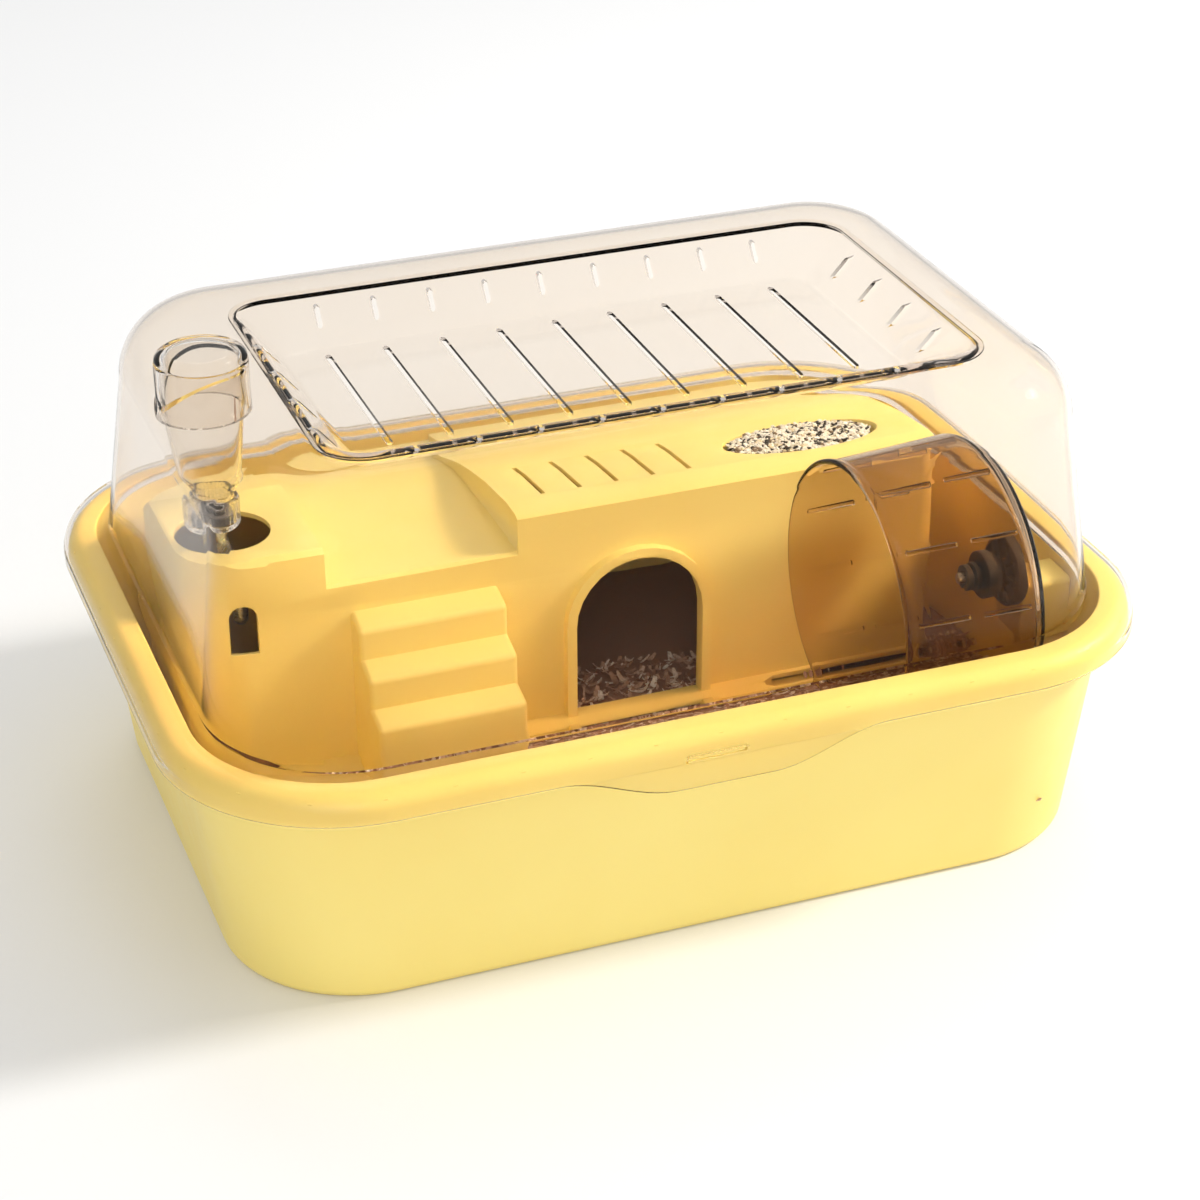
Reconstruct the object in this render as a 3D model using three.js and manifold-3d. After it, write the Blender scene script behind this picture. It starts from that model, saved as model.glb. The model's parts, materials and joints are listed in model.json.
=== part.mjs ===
// Hamster cage: a tub with a clear dome lid, a play platform, a running wheel and a drinking bottle.
// Millimetres, +Z up. The origin is the middle of the tub's underside and the front faces -Y.
import * as THREE from "three";
import { mergeVertices } from "three/addons/utils/BufferGeometryUtils.js";
import Module from "manifold-3d";

const wasm = await Module();
wasm.setup();

// ---- driving sizes ----
const gap = 0.3; // between pieces that touch
const seatGap = 0.5; // between the lid and the tub rim
const mouthHalfX = 218; // tub mouth, inside edge of the rim
const mouthHalfY = 162.5;
const mouthRadius = 68;
const cornerSteps = 9;
const rimZ = 119;
const tubWall = 3;
const tubFloor = 3;
const tubDraft = 0.113; // wall lean, mm inwards per mm down
const lipOut = 14.2; // rolled rim, outwards from the mouth
const lipDrop = 15;
const lidSkin = 2.2;
const skirtDrop = 12; // skirt edge under the rim top
const tabDrop = 14; // further drop of the thumb tab
const tabHalfX = 78;
const tabFlatX = 22;
const domeHalfX = mouthHalfX - 5; // dome wall at the rim
const domeHalfY = mouthHalfY - 2.5;
const domeRadius = mouthRadius - 1;
const roofZ = 240;
const roofHalfX = mouthHalfX - 15; // dome wall where the shoulder starts
const roofFrontY = 21.5 - mouthHalfY;
const roofBackY = mouthHalfY - 30.5;
const roofRadius = mouthRadius - 16;
const shoulder = 33.5;
const bedTopZ = 29.5;
const platformLeft = 23 - mouthHalfX;
const platformRight = mouthHalfX - 30;
const platformFront = -5;
const platformBack = mouthHalfY - 24;
const platformSkin = 2.5;
const platformFoot = 3.3;
const towerRight = -131;
const houseLeft = -36;
const eaveZ = rimZ + 27;
const landingZ = rimZ + 9;
const towerZ = rimZ + 28;
const flangeZ = bedTopZ + 0.5;
const flangeThick = 2.5;
const stairLeft = -120;
const stairRight = -46.5;
const stepCount = 3;
const stepDepth = 14;
const stepFall = 4;
const stepRise = 15.5;
const doorX = 24.5;
const doorHalf = 33;
const doorTopZ = 116;
const collarWide = 5;
const collarOut = 5;
const roofSlotCount = 5;
const roofSlotFirst = -16;
const roofSlotPitch = 19;
const dishX = 127;
const dishY = 34;
const dishHalfX = 42;
const dishHalfY = 21;
const dishDepth = 12;
const dishLean = 0.4; // wall lean, mm inwards per mm down
const dishRimZ = eaveZ - 0.5;
const bottleX = 41 - mouthHalfX;
const bottleY = 18;
const bottleR = 19;
const lidHoleR = bottleR + 0.5;
const collarWall = 2.1; // round the lid's bottle hole
const collarRise = 1.6;
const towerHoleX = bottleX + 7;
const towerHoleY = 31;
const towerHoleR = 22;
const bottleSkin = 1.4;
const neckR = bottleR - 10;
const capR = neckR + 3;
const tubeR = 4;
const tubeTipX = bottleX + 8;
const tubeTipY = bottleY - 2;
const tubeTipZ = towerZ - 41;
const tipR = tubeR - 1.7;
const ballR = tipR + 0.5;
const wheelR = 67; // at the open rim
const wheelFlare = 3.5; // wider at the closed side
const wheelWide = 71;
const wheelOpenX = mouthHalfX - wheelWide - 46;
const wheelY = platformFront - wheelR - wheelFlare - 4.5;
const wheelZ = rimZ - 6;
const wheelSkin = 2;
const treadCount = 12;
const axleR = 3;
const axleRun = 0.05; // running clearance of the wheel on its axle
const hubR = axleR + 9;
const plateR = 18;
const plateThick = 4;
const ventSlotCount = 9;
const ventPitch = 28.25;
const ventFirstX = -110;
const ventSlotWide = 3;
const ventFloorZ = roofZ - 20;
const ventSkin = 1.8;
const trayLip = 2.8; // tray rim over the roof
const ventTop = {
  left: bottleX + lidHoleR + collarWall + trayLip + 1.6,
  right: roofHalfX - 45,
  front: roofFrontY + 35,
  back: roofBackY - 54,
  radius: 20,
};
const ventFloor = {
  left: ventTop.left + 18,
  right: ventTop.right - 20,
  front: ventTop.front + 39,
  back: ventTop.back - 16,
  radius: 12,
};
const ventSideY = [-61, -29, 3, 35];

// ---- derived sizes ----
const wheelShutX = wheelOpenX + wheelWide;
const hubEndX = wheelShutX + gap + 10.5;
const plateX = hubEndX + 4;
const postX = plateX + plateThick + gap;
const screwR = 1.5;
const screwHeadR = 3;
const screwSpread = 7;
const screwZ = wheelZ - 11;
const lipBottomZ = rimZ - lipDrop;
const ventFloorCut = [ventFloor.front + 14, ventFloor.back - 12];
const ventBackCut = [ventFloor.back - 2, ventTop.back + 6];
const ventFrontCut = [ventTop.front - 6, ventFloor.front + 1];
const ventLeftCut = [ventTop.left - 14, ventFloor.left + 5];
const ventRightCut = [ventFloor.right - 6, ventTop.right + 22];
const ventBackShift = 2; // the back wall's slots, to the right of the floor's
const stairTreadZ = (k) => landingZ - (stepCount - k) * stepRise - (stepCount - k - 1) * stepFall;
const pocketZ = roofZ - 18; // bottle's straight part ends
const bottleFootZ = roofZ - 56;
const neckTopZ = bottleFootZ - 8;
const neckEndZ = bottleFootZ - 18;
const capBottomZ = neckEndZ - 8;
const capFloorZ = capBottomZ + 2.5;
const capTopZ = neckTopZ - 2;
const bendTopZ = capBottomZ - 6;
const panelLipZ = roofZ + gap;
const collarTopZ = roofZ + collarRise;
const wheelShutR = wheelR + wheelFlare;

// ---- materials ----
const paint = (color, roughness, extra = {}) =>
  new THREE.MeshStandardMaterial({ color, roughness, metalness: 0, ...extra });
const yellow = paint(0xf2cb61, 0.42);
const clear = paint(0xd9cbb9, 0.08, { transparent: true, opacity: 0.3 });
const amber = paint(0x7a5636, 0.1, { transparent: true, opacity: 0.45 });
const darkGrey = paint(0x3f3c3c, 0.5);
const bedding = paint(0xb7927a, 0.95);
const seed = paint(0xd8c79a, 0.9);
const steel = paint(0xb9bbbd, 0.25, { metalness: 1 });
const white = paint(0xe8e6e0, 0.5);
const rubber = paint(0x5a5a5c, 0.8);

// ---- solids and meshes ----
function solidOf(geometry) {
  const bare = new THREE.BufferGeometry();
  const flat = geometry.index ? geometry.toNonIndexed() : geometry;
  bare.setAttribute("position", flat.getAttribute("position").clone());
  const merged = mergeVertices(bare, 1e-4);
  const shape = new wasm.Mesh({
    numProp: 3,
    vertProperties: new Float32Array(merged.attributes.position.array),
    triVerts: new Uint32Array(merged.index.array),
  });
  return new wasm.Manifold(shape);
}

function geometryOf(solid) {
  const mesh = solid.getMesh();
  const geometry = new THREE.BufferGeometry();
  geometry.setAttribute("position", new THREE.BufferAttribute(mesh.vertProperties, 3));
  geometry.setIndex(new THREE.BufferAttribute(mesh.triVerts, 1));
  geometry.computeVertexNormals();
  return geometry;
}

const cage = new THREE.Group();
cage.name = "hamster_cage";

function addNode(name, solid, material) {
  const mesh = new THREE.Mesh(geometryOf(solid), material);
  mesh.name = name;
  cage.add(mesh);
}

// A rounded rectangle, anticlockwise from above, starting at the front right corner.
function outline({ left, right, front, back, radius }, frontStops = []) {
  const points = [];
  const corners = [
    [right - radius, front + radius, -90],
    [right - radius, back - radius, 0],
    [left + radius, back - radius, 90],
    [left + radius, front + radius, 180],
  ];
  for (const [cx, cy, start] of corners) {
    for (let k = 0; k <= cornerSteps; k += 1) {
      const a = THREE.MathUtils.degToRad(start + (90 * k) / cornerSteps);
      points.push([cx + radius * Math.cos(a), cy + radius * Math.sin(a)]);
    }
  }
  for (const x of frontStops) {
    points.push([x, front]);
  }
  return points;
}

// Skins a list of rings that all hold the same number of points, and closes both ends.
function loft(rings) {
  const count = rings[0].length;
  const positions = [];
  for (const ring of rings) {
    for (const [x, y, z] of ring) {
      positions.push(x, y, z);
    }
  }
  const triangles = [];
  for (let i = 0; i + 1 < rings.length; i += 1) {
    for (let j = 0; j < count; j += 1) {
      const a = i * count + j;
      const b = i * count + ((j + 1) % count);
      triangles.push(a, b, b + count, a, b + count, a + count);
    }
  }
  const endCap = (ring, first, flip) => {
    const middle = positions.length / 3;
    const sum = ring.reduce((s, p) => [s[0] + p[0], s[1] + p[1], s[2] + p[2]], [0, 0, 0]);
    positions.push(sum[0] / count, sum[1] / count, sum[2] / count);
    for (let j = 0; j < count; j += 1) {
      const a = first + j;
      const b = first + ((j + 1) % count);
      triangles.push(middle, flip ? b : a, flip ? a : b);
    }
  };
  endCap(rings[0], 0, true);
  endCap(rings[rings.length - 1], (rings.length - 1) * count, false);
  const geometry = new THREE.BufferGeometry();
  geometry.setAttribute("position", new THREE.Float32BufferAttribute(positions, 3));
  geometry.setIndex(triangles);
  return solidOf(geometry);
}

const atHeight = (points, z) => points.map(([x, y]) => [x, y, z]);

function box(x0, x1, y0, y1, z0, z1) {
  const geometry = new THREE.BoxGeometry(x1 - x0, y1 - y0, z1 - z0);
  geometry.translate((x0 + x1) / 2, (y0 + y1) / 2, (z0 + z1) / 2);
  return solidOf(geometry);
}

// A flat outline pushed straight up from z0 to z1.
function prism(points, z0, z1) {
  const shape = new THREE.Shape(points.map(([x, y]) => new THREE.Vector2(x, y)));
  const geometry = new THREE.ExtrudeGeometry(shape, { depth: z1 - z0, bevelEnabled: false });
  geometry.translate(0, 0, z0);
  return solidOf(geometry);
}

// A side profile in (y, z) pushed from x0 to x1.
function profileAlongX(points, x0, x1) {
  const shape = new THREE.Shape(points.map(([y, z]) => new THREE.Vector2(y, z)));
  const geometry = new THREE.ExtrudeGeometry(shape, { depth: x1 - x0, bevelEnabled: false });
  const turn = new THREE.Matrix4().set(0, 0, 1, x0, 1, 0, 0, 0, 0, 1, 0, 0, 0, 0, 0, 1);
  geometry.applyMatrix4(turn);
  return solidOf(geometry);
}

// A front profile in (x, z) pushed from y0 back to y1.
function profileAlongY(points, y0, y1) {
  const shape = new THREE.Shape(points.map(([x, z]) => new THREE.Vector2(x, z)));
  const geometry = new THREE.ExtrudeGeometry(shape, { depth: y1 - y0, bevelEnabled: false });
  const turn = new THREE.Matrix4().set(1, 0, 0, 0, 0, 0, -1, y1, 0, 1, 0, 0, 0, 0, 0, 1);
  geometry.applyMatrix4(turn);
  return solidOf(geometry);
}

function arch(x, half, bottomZ, topZ, steps = 14) {
  const points = [
    [x - half, bottomZ],
    [x + half, bottomZ],
  ];
  for (let k = 0; k <= steps; k += 1) {
    const a = (Math.PI * k) / steps;
    points.push([x + half * Math.cos(a), topZ - half + half * Math.sin(a)]);
  }
  return points;
}

// A closed (radius, height) profile turned about a vertical line.
function turned(profile, x, y, segments = 32) {
  const points = profile.map(([r, z]) => new THREE.Vector2(r, z));
  points.push(points[0].clone());
  const geometry = new THREE.LatheGeometry(points, segments);
  geometry.rotateX(Math.PI / 2);
  geometry.translate(x, y, 0);
  return upright(solidOf(geometry));
}

// A closed (radius, x) profile turned about the wheel's axle.
function turnedOnAxle(profile, segments = 32, y = wheelY, z = wheelZ) {
  const points = profile.map(([r, x]) => new THREE.Vector2(r, x));
  points.push(points[0].clone());
  const geometry = new THREE.LatheGeometry(points, segments);
  geometry.rotateZ(-Math.PI / 2);
  geometry.translate(0, y, z);
  return upright(solidOf(geometry));
}

// Turns a solid that came out facing inwards the right way round.
function upright(solid) {
  if (solid.volume() > 0) {
    return solid;
  }
  const mesh = solid.getMesh();
  const turnedOver = new Uint32Array(mesh.triVerts.length);
  for (let i = 0; i < turnedOver.length; i += 3) {
    turnedOver[i] = mesh.triVerts[i];
    turnedOver[i + 1] = mesh.triVerts[i + 2];
    turnedOver[i + 2] = mesh.triVerts[i + 1];
  }
  const shape = new wasm.Mesh({
    numProp: 3,
    vertProperties: mesh.vertProperties,
    triVerts: turnedOver,
  });
  return new wasm.Manifold(shape);
}

const union = (solids) => solids.reduce((a, b) => a.add(b));
const cut = (solid, tools) => tools.reduce((a, b) => a.subtract(b), solid);

// ---- the tub ----
const mouthRing = (off) => ({
  left: -mouthHalfX - off,
  right: mouthHalfX + off,
  front: -mouthHalfY - off,
  back: mouthHalfY + off,
  radius: mouthRadius + (off > 0 ? off : 0.5 * off),
});
const wallOff = (z) => tubWall - (rimZ - lipDrop - z) * tubDraft;
const innerOff = (z) => wallOff(z) - tubWall - gap;

function makeTub() {
  const steps = [
    [wallOff(0) - 3, 0],
    [wallOff(0) - 0.6, 1.2],
    [wallOff(4), 4],
    [wallOff(lipBottomZ + 3), lipBottomZ + 3],
    [lipOut - 2, lipBottomZ + 3],
    [lipOut - 2, lipBottomZ],
    [lipOut, lipBottomZ],
    [lipOut, rimZ - 7],
    [lipOut - 2, rimZ - 2.6],
    [lipOut - 6, rimZ],
    [2, rimZ],
    [0, rimZ - 1.4],
    [innerOff(rimZ - 8), rimZ - 8],
    [innerOff(9), 9],
    [innerOff(9) - 5, tubFloor + 1.6],
    [innerOff(9) - 11, tubFloor],
  ];
  const shell = loft(steps.map(([off, z]) => atHeight(outline(mouthRing(off)), z)));
  const post = box(postX, mouthHalfX - 2, wheelY - 12, wheelY + 12, wheelZ - 34, wheelZ - 4);
  const pilots = [-1, 1].map((side) =>
    turnedOnAxle(
      [
        [0, postX - 1],
        [screwR + gap, postX - 1],
        [screwR + gap, postX + 10],
        [0, postX + 10],
      ],
      16,
      wheelY + side * screwSpread,
      screwZ,
    ),
  );
  return cut(shell.add(post), pilots);
}

// ---- the bedding ----
function bedBlock() {
  const steps = [
    [innerOff(9) - 11.6, tubFloor + gap],
    [innerOff(9) - 5.8, tubFloor + 1.6 + gap],
    [innerOff(9) - 0.7, 9.4],
    [innerOff(bedTopZ) - 0.7, bedTopZ],
  ];
  return loft(steps.map(([off, z]) => atHeight(outline(mouthRing(off)), z)));
}

const footprint = (inset) => {
  const corners = [
    [platformRight - inset, platformFront + inset, 12 - inset, -90],
    [platformRight - inset, platformBack - inset, 54 - inset, 0],
    [platformLeft + inset, platformBack - inset, 54 - inset, 90],
    [platformLeft + inset, platformFront + inset, 28 - inset, 180],
  ];
  const points = [];
  for (const [x, y, r, start] of corners) {
    const cx = x > 0 ? x - r : x + r;
    const cy = y > 20 ? y - r : y + r;
    for (let k = 0; k <= 8; k += 1) {
      const a = THREE.MathUtils.degToRad(start + (90 * k) / 8);
      points.push([cx + r * Math.cos(a), cy + r * Math.sin(a)]);
    }
  }
  return points;
};

function makeOpenBedding() {
  const platformSpace = prism(footprint(-0.6), 0, 60);
  const behind = box(-230, 230, 60, 180, 0, 60);
  return cut(bedBlock(), [platformSpace, behind]);
}

function makeHouseBedding() {
  const room = prism(footprint(platformSkin + 0.5), tubFloor + gap, bedTopZ);
  const houseOnly = box(houseLeft + 4, 230, -20, 180, 0, 60);
  return room.intersect(houseOnly);
}

// ---- the play platform ----
function houseProfile(t) {
  return [
    [platformFront - 1, platformFoot - t],
    [platformBack + 1, platformFoot - t],
    [platformBack + 1, 126 - t],
    [85, 137 - t],
    [45, 143.6 - t],
    [12, eaveZ + 1 - t],
    [-1, eaveZ + 0.6 - t],
    [platformFront + 0.9 * t, eaveZ - 1 - t],
    [platformFront - 1, eaveZ - 3 - t],
  ];
}

function landingProfile(t) {
  return [
    [platformFront - 1, platformFoot - t],
    [platformBack + 1, platformFoot - t],
    [platformBack + 1, landingZ - 5 - t],
    [96, landingZ - t],
    [-3, landingZ - t],
    [platformFront - 1, landingZ - 2 - t],
  ];
}

function towerProfile(t) {
  return [
    [platformFront - 1, platformFoot - t],
    [platformBack + 1, platformFoot - t],
    [platformBack + 1, landingZ - 4 - t],
    [100, landingZ + 2 - t],
    [74, towerZ - t],
    [-2, towerZ - t],
    [platformFront - 1, towerZ - 3 - t],
  ];
}

function stairProfile(t) {
  const points = [[platformFront + 1, flangeZ - t]];
  let y = platformFront - stepCount * stepDepth + t;
  points.push([y, flangeZ - t]);
  for (let k = 0; k < stepCount; k += 1) {
    const backZ = stairTreadZ(k);
    points.push([y, backZ - stepFall - t]);
    y += stepDepth;
    points.push([y, backZ - t]);
  }
  if (t === 0) {
    points.push([platformFront + 1, landingZ - stepRise]);
  }
  return points;
}

function platformMass(t) {
  const house = profileAlongX(houseProfile(t), houseLeft + t, platformRight + 1);
  const landing = profileAlongX(landingProfile(t), towerRight - 4, houseLeft + 4);
  const tower = profileAlongX(towerProfile(t), platformLeft - 1, towerRight - t);
  return union([house, landing, tower]).intersect(prism(footprint(t), 0, 200));
}

function dishShape(grow, bottomZ, topZ) {
  const ring = (z) => {
    const inwards = (dishRimZ - z) * dishLean - grow;
    const points = [];
    for (let k = 0; k < 40; k += 1) {
      const a = (2 * Math.PI * k) / 40;
      const x = dishX + (dishHalfX - inwards) * Math.cos(a);
      points.push([x, dishY + (dishHalfY - inwards) * Math.sin(a), z]);
    }
    return points;
  };
  return loft([ring(bottomZ), ring(topZ)]);
}

function baseFlange() {
  const points = [
    [platformLeft + 20, 4],
    [platformLeft + 24, -14],
    [platformLeft + 38, -30],
    [platformLeft + 56, -41],
    [stairLeft + 2, -44],
    [stairRight - 2, -44],
    [stairRight + 3, -14],
    [wheelOpenX - 10, -12],
    [wheelOpenX - 4, platformFront - 3],
    [platformRight - 12, platformFront - 3],
    [platformRight - 12, 4],
  ];
  return prism(points, flangeZ, flangeZ + flangeThick);
}

function makePlatform() {
  const shell = platformMass(0).subtract(platformMass(platformSkin));
  const stairs = profileAlongX(stairProfile(0), stairLeft, stairRight).subtract(
    profileAlongX(stairProfile(platformSkin), stairLeft + platformSkin, stairRight - platformSkin),
  );
  const collar = profileAlongY(
    arch(doorX, doorHalf + collarWide, flangeZ, doorTopZ + collarWide),
    platformFront - collarOut,
    platformFront + 1,
  );
  const bowl = dishShape(platformSkin, dishRimZ - dishDepth - platformSkin, dishRimZ - 4);
  const inside = platformMass(platformSkin);
  const flange = baseFlange().subtract(inside);
  const stairWell = box(
    stairLeft + platformSkin,
    stairRight - platformSkin,
    platformFront - stepCount * stepDepth + platformSkin,
    platformFront,
    flangeZ - 1,
    flangeZ + flangeThick + 1,
  );
  const slots = [];
  for (let k = 0; k < roofSlotCount; k += 1) {
    const x = roofSlotFirst + k * roofSlotPitch;
    slots.push(box(x - 1.2, x + 1.2, 15, 60, eaveZ - 10, eaveZ + 6));
  }
  const doorway = profileAlongY(
    arch(doorX, doorHalf, flangeZ + flangeThick, doorTopZ),
    platformFront - collarOut - 1,
    platformFront + platformSkin + 1,
  );
  const window = profileAlongY(
    arch(towerHoleX - 2, 7, 99, 125, 8),
    platformFront - 5,
    24,
  );
  const bore = turned(
    [
      [0, towerZ - 12],
      [towerHoleR, towerZ - 12],
      [towerHoleR, towerZ + 5],
      [0, towerZ + 5],
    ],
    towerHoleX,
    towerHoleY,
  );
  const solid = union([shell, cut(flange, [stairWell]), stairs, collar, bowl]);
  const dish = dishShape(0, dishRimZ - dishDepth, dishRimZ + 6);
  return cut(solid, [dish, doorway, window, bore, ...slots]);
}

function makeSeeds() {
  const bottom = dishRimZ - dishDepth + gap;
  return dishShape(-gap - 0.1, bottom, bottom + dishDepth - 5);
}

// ---- the lid ----
const tabStops = [-78, -70, -60, -50, -41, -32, -22, 0, 22, 32, 41, 50, 60, 70, 78];

function skirtEdge(x, y) {
  const away = Math.max(0, Math.abs(x) - tabFlatX) / (tabHalfX - tabFlatX);
  const drop = y < -mouthHalfY && away < 1 ? 0.5 + 0.5 * Math.cos(Math.PI * away) : 0;
  return rimZ - skirtDrop - tabDrop * drop;
}

const springZ = roofZ - shoulder; // where the shoulder starts

function domeRing(z, inset) {
  const up = (z - rimZ) / (springZ - rimZ);
  const mix = (a, b) => a + (b - a) * up;
  return {
    left: mix(-domeHalfX, -roofHalfX) + inset,
    right: mix(domeHalfX, roofHalfX) - inset,
    front: mix(-domeHalfY, roofFrontY) + inset,
    back: mix(domeHalfY, roofBackY) - inset,
    radius: mix(domeRadius, roofRadius) - inset,
  };
}

// Rings over the dome's shoulder, from the wall up to the roof.
function shoulderRings(skin, steps) {
  const rings = [];
  for (let k = 0; k <= steps; k += 1) {
    const a = (Math.PI * k) / (2 * steps);
    const inset = skin + (shoulder - skin) * (1 - Math.cos(a));
    const z = springZ + (shoulder - skin) * Math.sin(a);
    rings.push(atHeight(outline(domeRing(springZ, inset), tabStops), z));
  }
  return rings;
}

function lidShell() {
  const ringAt = (ring, z) => atHeight(outline(ring, tabStops), z);
  const skirt = (off) =>
    outline(mouthRing(off), tabStops).map(([x, y]) => [x, y, skirtEdge(x, y)]);
  const under = rimZ + seatGap;
  const over = under + lidSkin;
  const inside = [
    ...shoulderRings(lidSkin, 5).reverse(),
    ringAt(domeRing(under, lidSkin), under),
    ringAt(mouthRing(lipOut - 5.8), under),
    ringAt(mouthRing(lipOut - 1.5), rimZ - 2.3),
    ringAt(mouthRing(lipOut + 0.6), rimZ - 6.8),
  ];
  const outside = [
    skirt(lipOut + 0.6),
    skirt(lipOut + 0.6 + lidSkin),
    ringAt(mouthRing(lipOut + 0.6 + lidSkin), rimZ - 6),
    ringAt(mouthRing(lipOut + 0.2), under + 0.2),
    ringAt(mouthRing(lipOut - 5), over),
    ringAt(mouthRing(0), over),
    ringAt(domeRing(over + 2, 0), over + 2),
    ...shoulderRings(0, 7),
  ];
  return loft([...inside, ...outside]);
}

const boreAt = (x, y, r, z0, z1) => turned([[0, z0], [r, z0], [r, z1], [0, z1]], x, y);

function makeLid() {
  const grow = 0.5;
  const opening = outline({
    left: ventTop.left - grow,
    right: ventTop.right + grow,
    front: ventTop.front - grow,
    back: ventTop.back + grow,
    radius: ventTop.radius + grow,
  });
  const ventHole = prism(opening, roofZ - 30, roofZ + 5);
  const collar = boreAt(bottleX, bottleY, lidHoleR + collarWall, roofZ - 24, collarTopZ);
  const bottleHole = boreAt(bottleX, bottleY, lidHoleR, roofZ - 40, roofZ + 5);
  const catchSlot = box(-19, 11, -190, -mouthHalfY - lipOut + 0.2, rimZ - 12.2, rimZ - 10.2);
  return cut(lidShell().add(collar), [ventHole, bottleHole, catchSlot]);
}

// ---- the vent panel ----
function makeVentPanel() {
  const grown = (ring, by) => ({
    left: ring.left - by,
    right: ring.right + by,
    front: ring.front - by,
    back: ring.back + by,
    radius: ring.radius + by,
  });
  const rings = [
    [grown(ventFloor, 0), ventFloorZ - ventSkin],
    [grown(ventTop, 0), panelLipZ - 1.6],
    [grown(ventTop, 0), panelLipZ],
    [grown(ventTop, trayLip), panelLipZ],
    [grown(ventTop, trayLip), panelLipZ + 1.2],
    [grown(ventTop, -ventSkin), panelLipZ + 1.2],
    [grown(ventFloor, -ventSkin), ventFloorZ],
  ];
  const tray = loft(rings.map(([ring, z]) => atHeight(outline(ring), z)));
  const half = ventSlotWide / 2;
  const cuts = [];
  for (let k = 0; k < ventSlotCount; k += 1) {
    const x = ventFirstX + k * ventPitch;
    const backX = ventFirstX + ventBackShift + k * (ventPitch - 0.2);
    cuts.push(box(x - half, x + half, ...ventFloorCut, ventFloorZ - 5, ventFloorZ + 4));
    cuts.push(box(backX - half, backX + half, ...ventBackCut, ventFloorZ + 6, ventFloorZ + 15.5));
    cuts.push(box(x - half, x + half, ...ventFrontCut, ventFloorZ + 6, ventFloorZ + 14));
  }
  for (const y of ventSideY) {
    cuts.push(box(...ventLeftCut, y - half, y + half, ventFloorZ + 6, ventFloorZ + 16));
    cuts.push(box(...ventRightCut, y - half, y + half, ventFloorZ + 6, ventFloorZ + 16));
  }
  return cut(tray, cuts);
}

// ---- the running wheel ----
function makeDrum() {
  const inner = wheelR - wheelSkin;
  const shutInner = wheelShutR - wheelSkin;
  const drum = turnedOnAxle(
    [
      [axleR + 2, wheelShutX - wheelSkin],
      [shutInner - 6, wheelShutX - wheelSkin],
      [shutInner - 1.5, wheelShutX - wheelSkin - 4],
      [inner - 0.6, wheelOpenX + 5],
      [inner + 0.2, wheelOpenX + 2],
      [inner + 0.2, wheelOpenX],
      [wheelR + 0.5, wheelOpenX],
      [wheelR + 0.5, wheelOpenX + 3],
      [wheelR - 0.6, wheelOpenX + 5],
      [wheelShutR - 0.6, wheelShutX - 7],
      [wheelShutR - 3, wheelShutX - 1.8],
      [wheelShutR - 8, wheelShutX],
      [axleR + 2, wheelShutX],
    ],
    56,
  );
  const treads = [];
  const spans = [
    [wheelOpenX + 8, wheelOpenX + 33],
    [wheelOpenX + 40, wheelShutX - 8],
  ];
  for (const [x0, x1] of spans) {
    const middle = (x0 + x1) / 2;
    const wallR = inner - 0.6 + (wheelFlare * (middle - wheelOpenX)) / wheelWide;
    for (let k = 0; k < treadCount; k += 1) {
      const bar = new THREE.BoxGeometry(x1 - x0, 2.2, 3);
      bar.translate(middle, 0, wallR - 0.5);
      bar.rotateX((2 * Math.PI * (k + 0.5)) / treadCount);
      bar.translate(0, wheelY, wheelZ);
      treads.push(solidOf(bar));
    }
  }
  return union([drum, ...treads]);
}

const makeHubBoss = () =>
  turnedOnAxle([
    [axleR + 1.8, wheelShutX + gap],
    [hubR, wheelShutX + gap],
    [hubR, hubEndX - 5],
    [hubR - 2, hubEndX - 1.5],
    [hubR - 5, hubEndX],
    [axleR + 1.8, hubEndX],
  ]);

const makeHubBush = () =>
  turnedOnAxle(
    [
      [axleR + axleRun, wheelShutX - wheelSkin - 2.6],
      [axleR + 4, wheelShutX - wheelSkin - 2.6],
      [axleR + 4, wheelShutX - wheelSkin - gap],
      [axleR + 1.5, wheelShutX - wheelSkin - gap],
      [axleR + 1.5, hubEndX + 0.6],
      [axleR + axleRun, hubEndX + 0.6],
    ],
    32,
  );

const makeAxle = () =>
  turnedOnAxle(
    [
      [0, wheelShutX - 12],
      [axleR - 0.8, wheelShutX - 12],
      [axleR, wheelShutX - 11],
      [axleR, plateX + plateThick],
      [0, plateX + plateThick],
    ],
    32,
  );

const makeAxleClip = () =>
  turnedOnAxle(
    [
      [axleR + gap, wheelShutX - 9],
      [axleR + 3.4, wheelShutX - 9],
      [axleR + 3.4, wheelShutX - 6],
      [axleR + gap, wheelShutX - 6],
    ],
    24,
  );

function makeAxleMount() {
  const plate = turnedOnAxle([
    [axleR + gap, plateX],
    [plateR - 1, plateX],
    [plateR, plateX + 1],
    [plateR, plateX + plateThick],
    [axleR + gap, plateX + plateThick],
  ]);
  const ribs = [];
  for (let k = 0; k < 8; k += 1) {
    const rib = new THREE.BoxGeometry(2.4, 1.4, 8.5);
    rib.translate(plateX - 0.7, 0, 11.8);
    rib.rotateX((2 * Math.PI * k) / 8);
    rib.translate(0, wheelY, wheelZ);
    ribs.push(solidOf(rib));
  }
  const collar = turnedOnAxle([
    [axleR + gap, plateX - 2.6],
    [axleR + 4.4, plateX - 2.6],
    [axleR + 4.4, plateX + 1],
    [axleR + gap, plateX + 1],
  ]);
  const seats = [-1, 1].map((side) =>
    turnedOnAxle(
      [
        [0, plateX - 4],
        [screwHeadR + 0.6, plateX - 4],
        [screwHeadR + 0.6, plateX],
        [screwR + gap, plateX],
        [screwR + gap, plateX + plateThick + 1],
        [0, plateX + plateThick + 1],
      ],
      16,
      wheelY + side * screwSpread,
      screwZ,
    ),
  );
  return cut(union([plate, collar, ...ribs]), seats);
}

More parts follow.
